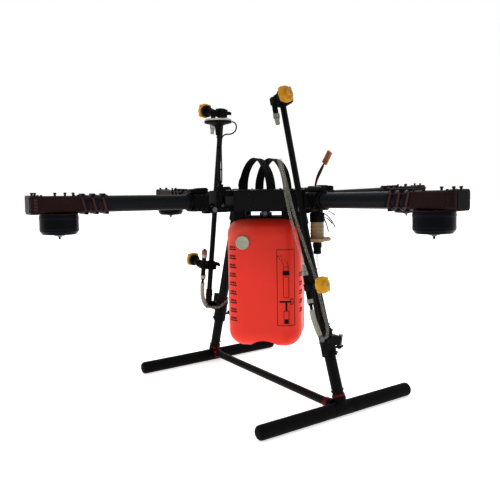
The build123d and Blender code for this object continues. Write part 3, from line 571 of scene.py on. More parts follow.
class DroneStudio(bpy.types.PropertyGroup):
    """Light and backdrop of the studio."""

    backdrop: bpy.props.FloatVectorProperty(name="Backdrop", description="Colour of the floor and backdrop",
                                            subtype="COLOR", size=4, default=(1.0, 1.0, 1.0, 1.0), min=0,
                                            max=1)
    fill: bpy.props.FloatProperty(name="Fill light", description="Brightness of the room's dim side",
                                  default=0.5,
                                  min=0, max=1)
    softbox: bpy.props.FloatProperty(name="Softbox power", description="Power of the large overhead light",
                                     default=14.0, min=0, unit="POWER")


def sizes():
    """The scene's current piece sizes."""
    return bpy.context.scene.drone_sizes


class Build(bpy.types.Operator):
    """Shared base of the operators that build pieces."""

    bl_options = {"REGISTER", "UNDO"}


# ---- carried-over frame parts ----
class DRONE_OT_frame_finishes(Build):
    """Give every frame part the finish of its own material"""

    bl_idname = "drone.frame_finishes"
    bl_label = "Frame finishes"

    def execute(self, context):
        slots = {part["node"]: part["material_slot"] for part in FRAME["record"]["subparts"]}
        for name, node in NODES.items():
            node.data.materials.clear()
            node.data.materials.append(FINISHES[FRAME_FINISH.get(name, slots[name])])
            node.data.set_sharp_from_angle(angle=math.radians(32))
        return {"FINISHED"}


# ---- hub ----
class DRONE_OT_hub_details(Build):
    """Add the hub's cap screws and panel screws, the leads' grommet and the arm brackets' bolts"""

    bl_idname = "drone.hub_details"
    bl_label = "Hub details"

    def execute(self, context):
        screws = Form()
        for index in range(4):
            turn = spun("Z", math.pi / 4 + math.pi / 2 * index)
            for across in (-0.058, -0.030, 0.030, 0.058):
                screw_head(screws, turn @ moved(0.1015, across, HUB_TOP), *PLATE_HEAD)
                for height in (0.536, 0.574):
                    place = turn @ moved(HUB_SIDE, across, height) @ OUTWARD
                    screw_head(screws, place, *PANEL_HEAD)
        screws.made("hub_panel_screws", "airframe", "steel", "black_screw")
        grommet = Form()
        place = DIAGONAL @ moved(HUB_SIDE, 0, LEAD_EXIT) @ OUTWARD
        grommet.hoop(place, [(0.0065, -0.003), (0.0115, -0.001), (0.0115, 0.002), (0.0095, 0.0035),
                             (0.0065, 0.003)], sides=28)
        grommet.made("lead_grommet", "airframe", "cable_black")
        bolts = Form()
        for index in range(4):
            turn = spun("Z", math.pi / 2 * index)
            for side in (-1, 1):
                for along in (0.124, 0.146, 0.170):
                    for height in (0.534, 0.575):
                        place = turn @ moved(along, side * KNUCKLE_SIDE, height)
                        place = place @ facing(side)
                        screw_head(bolts, place, *BRACKET_HEAD)
        bolts.made("bracket_bolts", "airframe", "steel", "black_screw")
        return {"FINISHED"}


# ---- arms ----
RIBS_ALONG = (0.489, 0.515, 0.541)
END_BLOCK = 0.656
TOP_BOLTS = ((0.573, 0.008), (0.586, -0.012), (0.617, 0.010), (0.664, -0.012), (0.664, 0.012))


class DRONE_OT_knuckle_details(Build):
    """Add the clamp screws and the locking catch's ribs and lever to each arm's hinge"""

    bl_idname = "drone.knuckle_details"
    bl_label = "Arm hinge details"

    def execute(self, context):
        for index, arm in enumerate(ARMS):
            place = arm_place(index)
            screws = Form()
            for along in (0.214, 0.229, 0.244):
                for side in (-1, 1):
                    for height in (0.570, 0.538):
                        spot = place @ moved(along, side * KNUCKLE_SIDE, height)
                        screw_head(screws, spot @ facing(side), *CLAMP_HEAD)
            screws.made(f"knuckle_screws_{arm}", f"arm_{arm}", "steel", "black_screw")
            catch = Form()
            for rib in range(6):
                along = 0.2085 + 0.0075 * rib
                catch.block(place, (along, -0.0128, 0.5805), (along + 0.0036, 0.0128, 0.5893))
            catch.extruded(place @ moved(0, 0.0075, 0) @ TOWARDS_FRONT,
                           ((0.199, 0.5885), (0.2045, 0.5925), (0.232, 0.5915), (0.243, 0.5888),
                            (0.243, 0.5865),
                            (0.199, 0.5865)), 0, 0.015)
            # painted highlight: only the right arm's catch is grey; the other three are black
            finish = "painted_highlight_grey" if arm == "right" else "black_aluminium"
            catch.made(f"fold_catch_{arm}", f"arm_{arm}", "black_aluminium", finish, bevel=0.0006)
            ring = Form()
            tube = place @ moved(0.252, 0, ARM_AXIS) @ OUTWARD
            ring.hoop(tube, [(0.0202, 0), (0.0234, 0), (0.0240, 0.002), (0.0240, 0.007), (0.0226, 0.009),
                               (0.0202, 0.009)], sides=48)
            ring.made(f"knuckle_ring_{arm}", f"arm_{arm}", "black_aluminium")
        return {"FINISHED"}


class DRONE_OT_motor_mount_details(Build):
    """Add the slanted ribs, side panels, end block, end plate rim, bolts and screws to each motor mount"""

    bl_idname = "drone.motor_mount_details"
    bl_label = "Motor mount details"

    def execute(self, context):
        for index, arm in enumerate(ARMS):
            place = arm_place(index)
            body = f"arm_{arm}"
            # painted light: each slanted rib is drawn as a shaded blue-black strip beside a lit rose strip
            dark = Form()
            light = Form()
            for along in RIBS_ALONG:
                for side in (-1, 1):
                    for form, shift, wide, out in ((dark, 0.0, 0.0075, 0.0252),
                                                   (light, 0.0075, 0.0065, 0.0246)):
                        low = along + shift - 0.004
                        outline = ((low, ARM_AXIS - 0.016), (low + wide, ARM_AXIS - 0.016),
                                   (low + wide + 0.009, ARM_AXIS + 0.016), (low + 0.009, ARM_AXIS + 0.016))
                        form.extruded(place @ TOWARDS_FRONT, outline, *slab(side, 0.0195, out))
                dark.block(place, (along + 0.005, -0.013, ARM_AXIS + 0.019),
                           (along + 0.012, 0.013, ARM_AXIS + 0.0256))
                dark.block(place, (along - 0.003, -0.013, ARM_AXIS - 0.0250),
                           (along + 0.004, 0.013, ARM_AXIS - 0.019))
            dark.made(f"mount_ribs_dark_{arm}", body, "tinted_aluminium", "painted_blue_sheen", bevel=0.0012)
            light.made(f"mount_ribs_{arm}", body, "tinted_aluminium", "painted_highlight_plum", bevel=0.0012)
            panels = Form()
            for side in (-1, 1):
                spot = place @ moved(0.606, 0, ARM_AXIS) @ TOWARDS_FRONT
                panels.extruded(spot, rounded(0.090, 0.034, 0.006, 5), *slab(side, 0.0212, 0.0228))
                panels.extruded(spot, rounded(0.084, 0.0045, 0.002, 4), *slab(side, 0.0226, 0.0232))
            panels.made(f"mount_panels_{arm}", body, "tinted_aluminium", bevel=0.0006)
            block = Form()
            spot = place @ moved(END_BLOCK, 0, ARM_AXIS - 0.00025) @ OUTWARD
            block.extruded(spot, rounded(0.0446, 0.0428, 0.0075, 6), 0.0, 0.0165)
            block.made(f"mount_end_block_{arm}", body, "tinted_aluminium", "end_cap", bevel=0.0005)
            plate = Form()
            spot = place @ moved(0.677, 0, ARM_AXIS) @ OUTWARD
            plate.extruded(spot, rounded(0.037, 0.034, 0.005, 6), 0, 0.0010)
            plate.made(f"mount_end_face_{arm}", body, "tinted_aluminium", "end_cap", bevel=0.0004)
            strips = Form()
            for side in (-1, 1):
                spot = place @ moved(END_BLOCK + 0.009, 0, ARM_AXIS) @ TOWARDS_FRONT
                for level in (-0.011, -0.0035, 0.004, 0.0115):
                    strips.extruded(spot @ moved(0, level, 0), rounded(0.0085, 0.0055, 0.0018, 4),
                                    *slab(side, 0.0222, 0.0228))
            # painted highlight: the end strips on the rear and left arms take the lit plum colour, the others
            # charcoal
            finish = "painted_highlight_plum" if arm in ("rear", "left") else "end_cap"
            strips.made(f"mount_end_strips_{arm}", body, "tinted_aluminium", finish, bevel=0.0002)
            screws = Form()
            for along, across in TOP_BOLTS:
                spot = place @ moved(along, across, MOUNT_TOP)
                screws.turned(spot, [(0, 0), (0.0026, 0), (0.0026, 0.0042), (0.0038, 0.0046),
                                     (0.0038, 0.0068),
                                     (0.0026, 0.0078), (0, 0.0079)], sides=20)
            for along in (0.563, 0.650):
                for across in (-0.0145, 0.0145):
                    screw_head(screws, place @ moved(along, across, MOUNT_TOP), *CLAMP_HEAD)
            for along, side in ((0.567, -1), (0.645, -1), (0.567, 1), (0.645, 1)):
                for height in (-0.012, 0.012):
                    spot = place @ moved(along, side * 0.0227, ARM_AXIS + height)
                    screw_head(screws, spot @ facing(side), 0.0021, 0.0012)
            for across in (-0.0155, 0.0155):
                for height in (-0.0145, 0.0145):
                    spot = place @ moved(0.6768, across, ARM_AXIS + height) @ OUTWARD
                    screw_head(screws, spot, 0.0024, 0.0018)
            for turn in range(4):
                angle = math.pi / 4 + math.pi / 2 * turn
                spot = moved(MOTOR_RADIAL + 0.036 * math.cos(angle), 0.036 * math.sin(angle),
                                           ARM_AXIS - 0.021)
                screw_head(screws, place @ spot, 0.003, 0.002)
            screws.made(f"mount_screws_{arm}", body, "steel", "black_screw")
        return {"FINISHED"}


class DRONE_OT_motor_details(Build):
    """Add the motors' rim bands, hub rings, hub screws and shaft circlips"""

    bl_idname = "drone.motor_details"
    bl_label = "Motor details"

    def execute(self, context):
        for index, arm in enumerate(ARMS):
            place = arm_place(index) @ moved(MOTOR_RADIAL, 0, 0)
            rim = Form()
            rim.hoop(place, [(0.0446, BELL_TOP - 0.010), (0.0456, BELL_TOP - 0.009),
                             (0.0456, BELL_TOP - 0.005),
                               (0.0446, BELL_TOP - 0.004)], sides=72)
            rim.hoop(place, [(0.0446, BELL_TOP - 0.034), (0.0454, BELL_TOP - 0.033),
                             (0.0454, BELL_TOP - 0.031),
                               (0.0446, BELL_TOP - 0.030)], sides=72)
            # painted reflection: the two rim bands carry a painted blue sheen on the black bell
            rim.made(f"bell_bands_{arm}", f"rotor_{arm}", "motor_black", "painted_blue_sheen")
            hub = Form()
            hub.hoop(place, [(0.0028, BELL_BOTTOM + 0.001), (0.0130, BELL_BOTTOM + 0.001),
                             (0.0130, BELL_BOTTOM - 0.0025),
                               (0.0110, BELL_BOTTOM - 0.004), (0.0055, BELL_BOTTOM - 0.004),
                               (0.0050, BELL_BOTTOM - 0.0065), (0.0028, BELL_BOTTOM - 0.0065)], sides=40)
            for turn in range(4):
                angle = math.pi / 2 * turn + math.pi / 4
                spot = moved(0.0185 * math.cos(angle), 0.0185 * math.sin(angle), BELL_BOTTOM)
                screw_head(hub, place @ spot @ spun("X", math.pi), *SMALL_HEAD)
            hub.made(f"bell_hub_{arm}", f"rotor_{arm}", "steel")
        return {"FINISHED"}


# ---- landing gear ----
class DRONE_OT_foam_sleeves(Build):
    """Build the foam sleeves on the skids, pinched at their tips"""

    bl_idname = "drone.foam_sleeves"
    bl_label = "Skid foam"

    def execute(self, context):
        form = Form()
        radius = 0.0185
        for side in SIDES.values():
            for way in (-1, 1):
                length = (SKID_FRONT if way > 0 else SKID_REAR) - TEE_HALF
                profile = [(0.0127, 0), (radius - 0.0006, 0), (radius, 0.0025)]
                steps = 14
                for k in range(1, steps):
                    along = 0.0025 + (length - 0.0115) * k / steps
                    profile.append((radius * (1 - 0.012 * (1 + math.sin(along * 95 + side + way)) / 2),
                                    along))
                profile += [(radius, length - 0.009), (radius - 0.0012, length - 0.0045),
                            (radius - 0.0042, length - 0.0012), (radius - 0.0085, length), (0, length)]
                place = at_plane((side * SKID_X, way * TEE_HALF, SKID_HEIGHT), (1, 0, 0), (0, way, 0))
                form.turned(place, profile, sides=48)
        foam = form.made("skid_foam_sleeves", "airframe", "foam_black")
        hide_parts("skid_foam")
        return {"FINISHED"}


class DRONE_OT_gear_details(Build):
    """Add the leg sockets' and tees' screws, collar screws and the legs' clamp rings"""

    bl_idname = "drone.gear_details"
    bl_label = "Landing gear details"

    def execute(self, context):
        screws = Form()
        rings = Form()
        for side in SIDES.values():
            for height in (0.052, 0.063):
                for face in (-1, 1):
                    spot = leg_place(side, height) @ facing(face)
                    spot = spot @ moved(0, 0, 0.0187)
                    screw_head(screws, spot, *TEE_HEAD)
            for height in (0.500, 0.513):
                for face in (-1, 1):
                    spot = leg_place(side, height) @ facing(face)
                    screw_head(screws, spot @ moved(0, 0, 0.0196), 0.003, 0.0024)
            for along in (-0.024, 0.024):
                spot = moved(side * SKID_X, along, SKID_HEIGHT + 0.0183)
                screw_head(screws, spot, 0.0028, 0.002)
            rings.hoop(leg_place(side, 0.488), [(0.0151, 0), (0.0192, 0), (0.0200, 0.0015), (0.0200, 0.0045),
                                                  (0.0151, 0.0045)], sides=48)
            for along in (-0.031, 0.029):
                place = at_plane((side * SKID_X, along, SKID_HEIGHT), (1, 0, 0), (0, 1, 0))
                rings.hoop(place, [(0.0170, 0), (0.0189, 0), (0.0189, 0.002), (0.0170, 0.002)], sides=48)
        screws.made("gear_screws", "airframe", "steel", "black_screw")
        rings.made("gear_rings", "airframe", "nylon_black")
        return {"FINISHED"}


# ---- tank ----
def on_tank_front(across, height, out=0.0):
    """A place on the tank's front face; local z points out of it and local y up."""
    spot = DIAGONAL @ moved(across, -TANK_DEPTH / 2 - out, height)
    return spot @ TOWARDS_FRONT


def tank_skin(along, height, out=0.0):
    """A point on the tank's upright skin, given its distance round from the middle of the front face."""
    flat_x, flat_y = TANK_WIDTH / 2 - TANK_CORNER, TANK_DEPTH / 2 - TANK_CORNER
    quarter = TANK_CORNER * math.pi / 2
    way = math.copysign(1, along)
    run = abs(along)
    reach = TANK_CORNER + out
    if run <= flat_x:
        x, y = run, -flat_y - reach
    elif run <= flat_x + quarter:
        turn = (run - flat_x) / TANK_CORNER
        x, y = flat_x + reach * math.sin(turn), -flat_y - reach * math.cos(turn)
    else:
        x, y = flat_x + reach, run - flat_x - quarter - flat_y
    return DIAGONAL @ Vector((way * x, y, height))


def printed(form, low, high, out=0.0004):
    """A thin printed rectangle that follows the tank's skin between two (along, height) corners."""
    steps = max(1, math.ceil((high[0] - low[0]) / 0.005))
    rows = []
    for k in range(steps + 1):
        along = low[0] + (high[0] - low[0]) * k / steps
        rows.append([form.bm.verts.new(tank_skin(along, z, o))
                     for z, o in ((low[1], -0.0004), (low[1], out), (high[1], out), (high[1], -0.0004))])
    form.bm.faces.new(rows[0][::-1])
    form.bm.faces.new(rows[-1])
    for before, after in zip(rows, rows[1:]):
        for k in range(4):
            form.bm.faces.new((before[k], before[(k + 1) % 4], after[(k + 1) % 4], after[k]))


def framed(form, low, high, line):
    """A printed rectangular outline."""
    printed(form, low, (high[0], low[1] + line))
    printed(form, (low[0], high[1] - line), high)
    printed(form, (low[0], low[1] + line), (low[0] + line, high[1] - line))
    printed(form, (high[0] - line, low[1] + line), (high[0], high[1] - line))


MARK_LOW, MARK_STEP, MARKS = 0.209, 0.0257, 9
LABEL_LOW, LABEL_HIGH = (0.0425, 0.199), (0.0945, 0.417)
# rectangles of the label's drawing from its middle: left, low, right, high, and line width or 0 if filled
LABEL_DRAWING = (
    (-0.0075, 0.2050, 0.0075, 0.2420, 0.0011), (-0.0052, 0.2050, 0.0052, 0.2180, 0),
    (-0.0190, 0.2660, 0.0120, 0.2705, 0), (0.0120, 0.2600, 0.0210, 0.2770, 0.0018),
    (-0.0025, 0.2420, 0.0025, 0.2660, 0), (-0.0080, 0.2800, 0.0080, 0.3400, 0.0011),
    (-0.0095, 0.3440, 0.0095, 0.3560, 0), (-0.0070, 0.3560, 0.0070, 0.3680, 0.0011),
)


class DRONE_OT_tank_details(Build):
    """Add the tank's seal, graduations, plain marks and framed plain diagram"""

    bl_idname = "drone.tank_details"
    bl_label = "Tank details"

    def execute(self, context):
        ink = Form()
        for mark in range(MARKS):
            height = MARK_LOW + MARK_STEP * mark
            printed(ink, (-0.1035, height), (-0.0745, height + 0.0030))
            for k in range(4):
                low = -0.1000 + 0.0062 * k
                printed(ink, (low, height + 0.0058), (low + 0.0038, height + 0.0112))
            if 0 < mark < 6:
                printed(ink, (0.1130, height), (0.1450, height + 0.0030))
                for k in range(4):
                    low = 0.1160 + 0.0066 * k
                    printed(ink, (low, height + 0.0058), (low + 0.0040, height + 0.0112))
        framed(ink, LABEL_LOW, LABEL_HIGH, 0.0013)
        middle = (LABEL_LOW[0] + LABEL_HIGH[0]) / 2
        for left, low, right, high, line in LABEL_DRAWING:
            if line:
                framed(ink, (middle + left, low), (middle + right, high), line)
            else:
                printed(ink, (middle + left, low), (middle + right, high))
        for k in range(6):
            shift = -0.0040 * k * k / 6
            printed(ink, (middle - 0.0075 + shift, 0.3680 + 0.0050 * k),
                    (middle - 0.0064 + shift, 0.3735 + 0.0050 * k))
            printed(ink, (middle + 0.0060 + shift, 0.3680 + 0.0042 * k),
                    (middle + 0.0071 + shift, 0.3725 + 0.0042 * k))
        printed(ink, (middle - 0.0240, 0.3980), (middle - 0.0100, 0.3992))
        ink.made("tank_marks", "airframe", "tank_red", "mark_black")
        gasket = Form()
        gasket.extruded(DIAGONAL, rounded(TANK_WIDTH - 0.072, TANK_DEPTH - 0.072, 0.022, 8),
                        TANK_HIGH - 0.0012,
                        TANK_HIGH + 0.0030)
        for across in (-0.070, 0.070):
            for way in (-1, 1):
                gasket.extruded(DIAGONAL @ moved(across, way * 0.041, 0), rounded(0.040, 0.026, 0.006, 4),
                                TANK_HIGH - 0.007, TANK_HIGH + 0.0005)
        gasket.made("tank_gasket", "airframe", "nylon_black", bevel=0.0008)
        return {"FINISHED"}


class DRONE_OT_filler_cap(Build):
    """Build the filler's screw cap with its ribbed rim and dished face"""

    bl_idname = "drone.filler_cap"
    bl_label = "Filler cap"

    def execute(self, context):
        cap = Form()
        place = on_tank_front(CAP_ACROSS, CAP_HEIGHT, 0.0006)
        profile = [(0.0142, 0.0), (0.0190, 0.0), (0.0195, 0.0008), (0.0195, 0.0064), (0.0186, 0.0080),
                   (0.0165, 0.0085), (0.0150, 0.0078), (0.0060, 0.0074), (0, 0.0073)]
        cap.turned(place, profile, sides=96, squash=knurl(32, 0.018))
        cap.block(place, (-0.0125, -0.0022, 0.0070), (0.0125, 0.0022, 0.0084))
        piece = cap.made("filler_cap_moulding", "filler_cap", "cap_white", bevel=0.0003)
        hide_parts("tank_cap")
        return {"FINISHED"}


class DRONE_OT_pump_details(Build):
    """Add the pump's ribs, flange screws, clamp band and the cable ties' tails"""

    bl_idname = "drone.pump_details"
    bl_label = "Pump details"

    def execute(self, context):
        place = DIAGONAL @ moved(PUMP_ACROSS, 0, 0)
        screws = Form()
        for turn in range(6):
            angle = math.pi / 3 * turn
            spot = moved(0.0315 * math.cos(angle), 0.0315 * math.sin(angle), 0.4418)
            screw_head(screws, place @ spot, *TEE_HEAD)
        screws.made("pump_screws", "airframe", "steel", "black_screw")
        ribs = Form()
        for level in (0.452, 0.462, 0.472):
            ribs.hoop(place, [(0.0185, level), (0.0202, level + 0.0008), (0.0202, level + 0.0030),
                                (0.0185, level + 0.0038)], sides=44)
        ribs.made("pump_ribs", "airframe", "pump_cream")
        band = Form()
        band.hoop(place, [(0.0155, 0.4885), (0.0205, 0.4885), (0.0212, 0.4900), (0.0212, 0.5120),
                          (0.0200, 0.5140),
                            (0.0168, 0.5145), (0.0168, 0.5244), (0.0155, 0.5244)], sides=48)
        band.hoop(place, [(0.0095, 0.3952), (0.0108, 0.3952), (0.0108, 0.4130), (0.0128, 0.4140),
                          (0.0128, 0.4270),
                            (0.0108, 0.4280), (0.0108, 0.4298), (0.0095, 0.4298)], sides=40)
        band.hoop(place, [(0.0155, 0.489), (0.0172, 0.490), (0.0172, 0.498), (0.0155, 0.499)], sides=44)
        band.hoop(place, [(0.0098, 0.397), (0.0113, 0.398), (0.0113, 0.404), (0.0098, 0.405)], sides=36)
        band.made("pump_bands", "airframe", "nylon_black")
        ties = Form()
        for start, end in (((0.020, -0.008, 0.512), (0.052, -0.016, 0.474)),
                           ((0.016, -0.014, 0.506), (0.034, -0.034, 0.462)),
                           ((0.019, 0.010, 0.515), (0.050, 0.020, 0.505)),
                           ((0.010, -0.018, 0.514), (0.012, -0.040, 0.528)),
                           ((0.018, -0.012, 0.500), (0.044, -0.030, 0.484))):
            stations = []
            for k in range(9):
                t = k / 8
                point = Vector(start).lerp(Vector(end), t) + Vector((0, 0, 0.006 * math.sin(math.pi * t)))
                stations.append((place @ point, DIAGONAL.to_3x3() @ Vector((0.0006, 0.0022, 0)),
                                 DIAGONAL.to_3x3() @ Vector((0.7, 0, 0.7))))
            ties.band(stations, 0.0014)
        ties.hoop(place, [(0.0160, 0.5035), (0.0174, 0.5040), (0.0174, 0.5075), (0.0160, 0.5080)],
                    sides=40)
        ties.made("pump_cable_ties", "airframe", "nylon_black", "zip_tie")
        return {"FINISHED"}


# ---- top of the hub ----
STRAP_LINE = ((-0.070, 0.584), (-0.0695, 0.596), (-0.066, 0.612), (-0.0570, 0.634), (-0.0440, 0.6515),
              (-0.0270, 0.6635),
              (-0.0060, 0.6712), (0.0120, 0.6690), (0.0270, 0.6625), (0.0410, 0.6480), (0.0530, 0.6300),
              (0.0610, 0.6100), (0.0650, 0.5960), (0.0660, 0.584))


def smooth_line(points, steps):
    """Even steps along a smooth line through points, read from a NURBS spline."""
    curve = bpy.data.curves.new("guide", "CURVE")
    curve.dimensions = "3D"
    curve.resolution_u = steps
    spline = curve.splines.new("NURBS")
    spline.points.add(len(points) - 1)
    for knot, point in zip(spline.points, points):
        knot.co = (*point, 1)
    spline.order_u = 3
    spline.use_endpoint_u = True
    guide = bpy.data.objects.new("guide", curve)
    mesh = bpy.data.meshes.new_from_object(guide)
    line = [v.co.copy() for v in mesh.vertices]
    bpy.data.objects.remove(guide)
    bpy.data.curves.remove(curve)
    bpy.data.meshes.remove(mesh)
    return line


class DRONE_OT_battery_straps(Build):
    """Build the two webbing loops with stitch rows and a folded loose end"""

    bl_idname = "drone.battery_straps"
    bl_label = "Battery straps"

    def execute(self, context):
        half = sizes().strap / 2
        form = Form()
        stitches = Form()
        for number, y in enumerate((-0.029, 0.029)):
            line = smooth_line([(x, y, z) for x, z in STRAP_LINE], 8)
            stations = []
            for k, point in enumerate(line):
                ahead = line[min(k + 1, len(line) - 1)] - line[max(k - 1, 0)]
                ahead.normalize()
                normal = ahead.cross(Vector((0, 1, 0)))
                share = k / (len(line) - 1)
                ripple = 0.0011 * math.sin(share * 17 + number)
                across = Vector((0, half * (1 - 0.10 * math.sin(math.pi * share) ** 2),
                                 0.0012 * math.sin(share * 9 + number)))
                stations.append((point + normal * (0.0003 + ripple * math.sin(math.pi * share)), across,
                                 normal))
            form.band(stations, 0.0022)
            for edge in (-0.8, 0.8):
                for k in range(3, len(line) - 4, 2):
                    point, across, normal = stations[k]
                    centre = point + across * edge - normal * 0.0003
                    ahead = (stations[k + 1][0] - point).normalized() * 0.0016
                    stitches.band([(centre - ahead, Vector((0, 0.0004, 0)), normal),
                                   (centre + ahead, Vector((0, 0.0004, 0)), normal)], 0.0029)
            fold = []
            for k, (x, z) in enumerate(((-0.0740, 0.5858), (-0.0790, 0.5960), (-0.0765, 0.6090),
                                        (-0.0712, 0.6180),
                                        (-0.0672, 0.6225))):
                fold.append((Vector((x, y + 0.001 * k, z)), Vector((0, half * 0.95, 0)),
                             Vector((-0.9, 0, 0.35))))
            if number == 0:
                form.band(fold, 0.0018)
        straps = form.made("battery_strap_webbing", "airframe", "webbing_black", bevel=0.0005)
        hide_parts("battery_straps")
        stitches.made("battery_strap_stitching", "airframe", "webbing_black", "case_grey")
        return {"FINISHED"}


def hose_curve(name, points, diameter, body, slot):
    """A free cord as one open NURBS spline of round section."""
    curve = bpy.data.curves.new(name, "CURVE")
    curve.dimensions = "3D"
    curve.resolution_u = 10
    curve.bevel_depth = diameter / 2
    curve.bevel_resolution = 6
    curve.use_fill_caps = True
    spline = curve.splines.new("NURBS")
    spline.points.add(len(points) - 1)
    for knot, point in zip(spline.points, points):
        knot.co = (point[0] * MM, point[1] * MM, point[2] * MM, 1)
    spline.order_u = 3
    spline.use_endpoint_u = True
    curve.materials.append(FINISHES[slot])
    piece = bpy.data.objects.new(name, curve)
    bpy.context.scene.collection.objects.link(piece)
    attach(piece, body)
    return piece


# ---- hose and lead routes in millimetres, the same as the frame's ----
LEFT_BOOM_HOSE = [
    (-276.42, -60.70, 279.28), (-280.42, -60.12, 262.22), (-283, -59, 242), (-280, -58.5, 221),
                  (-267, -57, 207),
    (-247, -55.6, 202), (-224.4, -50.1, 203.96),
]
FEED_HOSE = [
    (-224, -50, 204), (-202.4, -44.6, 205.8), (-192, -22, 226), (-188, 8, 256), (-160, 44, 288),
             (-118, 84, 314),
    (-72, 124, 328), (-18, 150, 336), (38, 154, 340), (78, 138, 342), (99, 118, 350), (106.07, 106.07, 370),
    (106.07, 106.07, 395),
]
RIGHT_LONG_HOSE = [
    (276.42, -60.70, 279.28), (280.42, -60.12, 262.22), (288, -59.5, 247), (297, -59.2, 231), (304, -58, 218),
    (315, -55.5, 211), (325, -53, 217), (325, -50, 231), (317, -48, 252), (303, -47, 284), (289, -46.5, 322),
    (272, -47, 370), (254, -55, 420), (240, -64, 470), (226, -76, 524), (215, -83, 578), (204, -90, 628),
    (198, -95, 664),
]
RIGHT_SHORT_HOSE = [
    (249.70, -64.57, 393.33), (245.50, -65.18, 411.24), (242, -74, 436), (236, -83, 480), (228, -92, 528),
    (221, -98, 576), (216, -103, 624), (206, -108, 661),
]
RED_LEAD = [
    (76.7, 76.7, 562), (92, 92, 562), (101, 99, 574), (105, 101, 592), (113, 102, 612), (129, 102.5, 633),
    (139.6, 101.6, 648.6),
]
BLACK_LEAD = [
    (72.9, 80.5, 562), (88, 96, 561), (97.5, 103.5, 573), (101, 104, 593), (107, 104.5, 615), (121, 105, 637),
    (136.0, 105.6, 652.6),
]
GPS_CABLE = [
    (21.9, -125.4, 771.4), (25.8, -119.5, 769.5), (28.2, -115.8, 762), (28.0, -116.2, 750),
             (24.0, -122.0, 741),
    (17.5, -131.5, 737), (10.7, -141.3, 738), (5.5, -149.0, 731), (4.1, -151.2, 716), (3.9, -151.5, 690),
    (4.1, -151.2, 650), (3.8, -151.6, 612),
]


def line_length(points):
    """Length of the smooth line that a cord follows."""
    line = smooth_line([Vector(p) * MM for p in points], 10)
    return sum((b - a).length for a, b in zip(line, line[1:]))


class DRONE_OT_battery_leads(Build):
    """Build the red and black battery leads with their moulded connector"""

    bl_idname = "drone.battery_leads"
    bl_label = "Battery leads"

    def execute(self, context):
        plug = Form()
        place = at_plane((0.1412, 0.1038, 0.6546), (0.8, 0, -0.6), (0.6, 0, 0.8))
        plug.extruded(place, rounded(0.017, 0.009, 0.003, 5), 0.0, 0.011)
        plug.extruded(place, rounded(0.0158, 0.0082, 0.0025, 5), 0.011, 0.037)
        for level in (0.015, 0.020, 0.025):
            plug.extruded(place, rounded(0.0168, 0.0088, 0.0028, 5), level, level + 0.0022)
        plug.extruded(place, rounded(0.0166, 0.0086, 0.0028, 5), 0.034, 0.038)
        connector = plug.made("battery_plug", "airframe", "connector_amber", bevel=0.0005)
        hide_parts("battery_connector")
        for name, route, color in (("red", RED_LEAD, "cable_red"), ("black", BLACK_LEAD, "cable_black")):
            lead = hose_curve(f"lead_{name}", route, sizes().lead, "airframe", color)
            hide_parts(f"battery_lead_{name}")
            line_length(route)
        return {"FINISHED"}


class DRONE_OT_receiver(Build):
    """Build the satellite receiver's case, cone and mast collar, with its cable"""

    bl_idname = "drone.receiver"
    bl_label = "Satellite receiver"

    def execute(self, context):
        place = moved(0, -GPS_RADIAL, 0)
        case = Form()
        case.turned(place, [(0, 0.7735), (0.0368, 0.7735), (0.0372, 0.7745), (0.0366, 0.7768),
                            (0.0335, 0.7790),
                            (0.0220, 0.7798), (0, 0.78)], sides=72)
        dome = case.made("receiver_case", "gps", "cap_white")
        cone = Form()
        cone.turned(place, [(0.0041, 0.735), (0.0072, 0.736), (0.0080, 0.748), (0.0086, 0.7560),
                            (0.0110, 0.7600),
                            (0.0200, 0.7640), (0.0320, 0.7666), (0.0366, 0.7680), (0.0375, 0.7690),
                            (0.0375, 0.7728),
                            (0.0360, 0.7738), (0.0041, 0.7738)], sides=72)
        cone.made("receiver_cone", "gps", "nylon_black")
        band = Form()
        for low in (0.640, 0.700, 0.728):
            band.hoop(place, [(0.0039, low), (0.0055, low + 0.0003), (0.0055, low + 0.0037),
                              (0.0039, low + 0.004)], sides=28)
        band.made("receiver_bands", "gps", "nylon_black", "case_grey")
        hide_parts("gps_puck")
        cable = hose_curve("receiver_cable", GPS_CABLE, sizes().cable, "gps", "cable_black")
        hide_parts("gps_cable")
        line_length(GPS_CABLE)
        return {"FINISHED"}


# ---- spray booms ----
TEE_LOW, TEE_HIGH = (NOZZLES["right"][k][0] for k in range(2))  # how far up the boom each tee sits
LOW_REACH, HIGH_REACH = 0.042, 0.046  # half lengths of the tees


def cap_ribs(angle, height):
    """Soft ribs round the lower part of a nozzle cap."""
    return 1 + (0.022 * (0.5 + 0.5 * math.cos(24 * angle)) if height < 0.012 else 0)


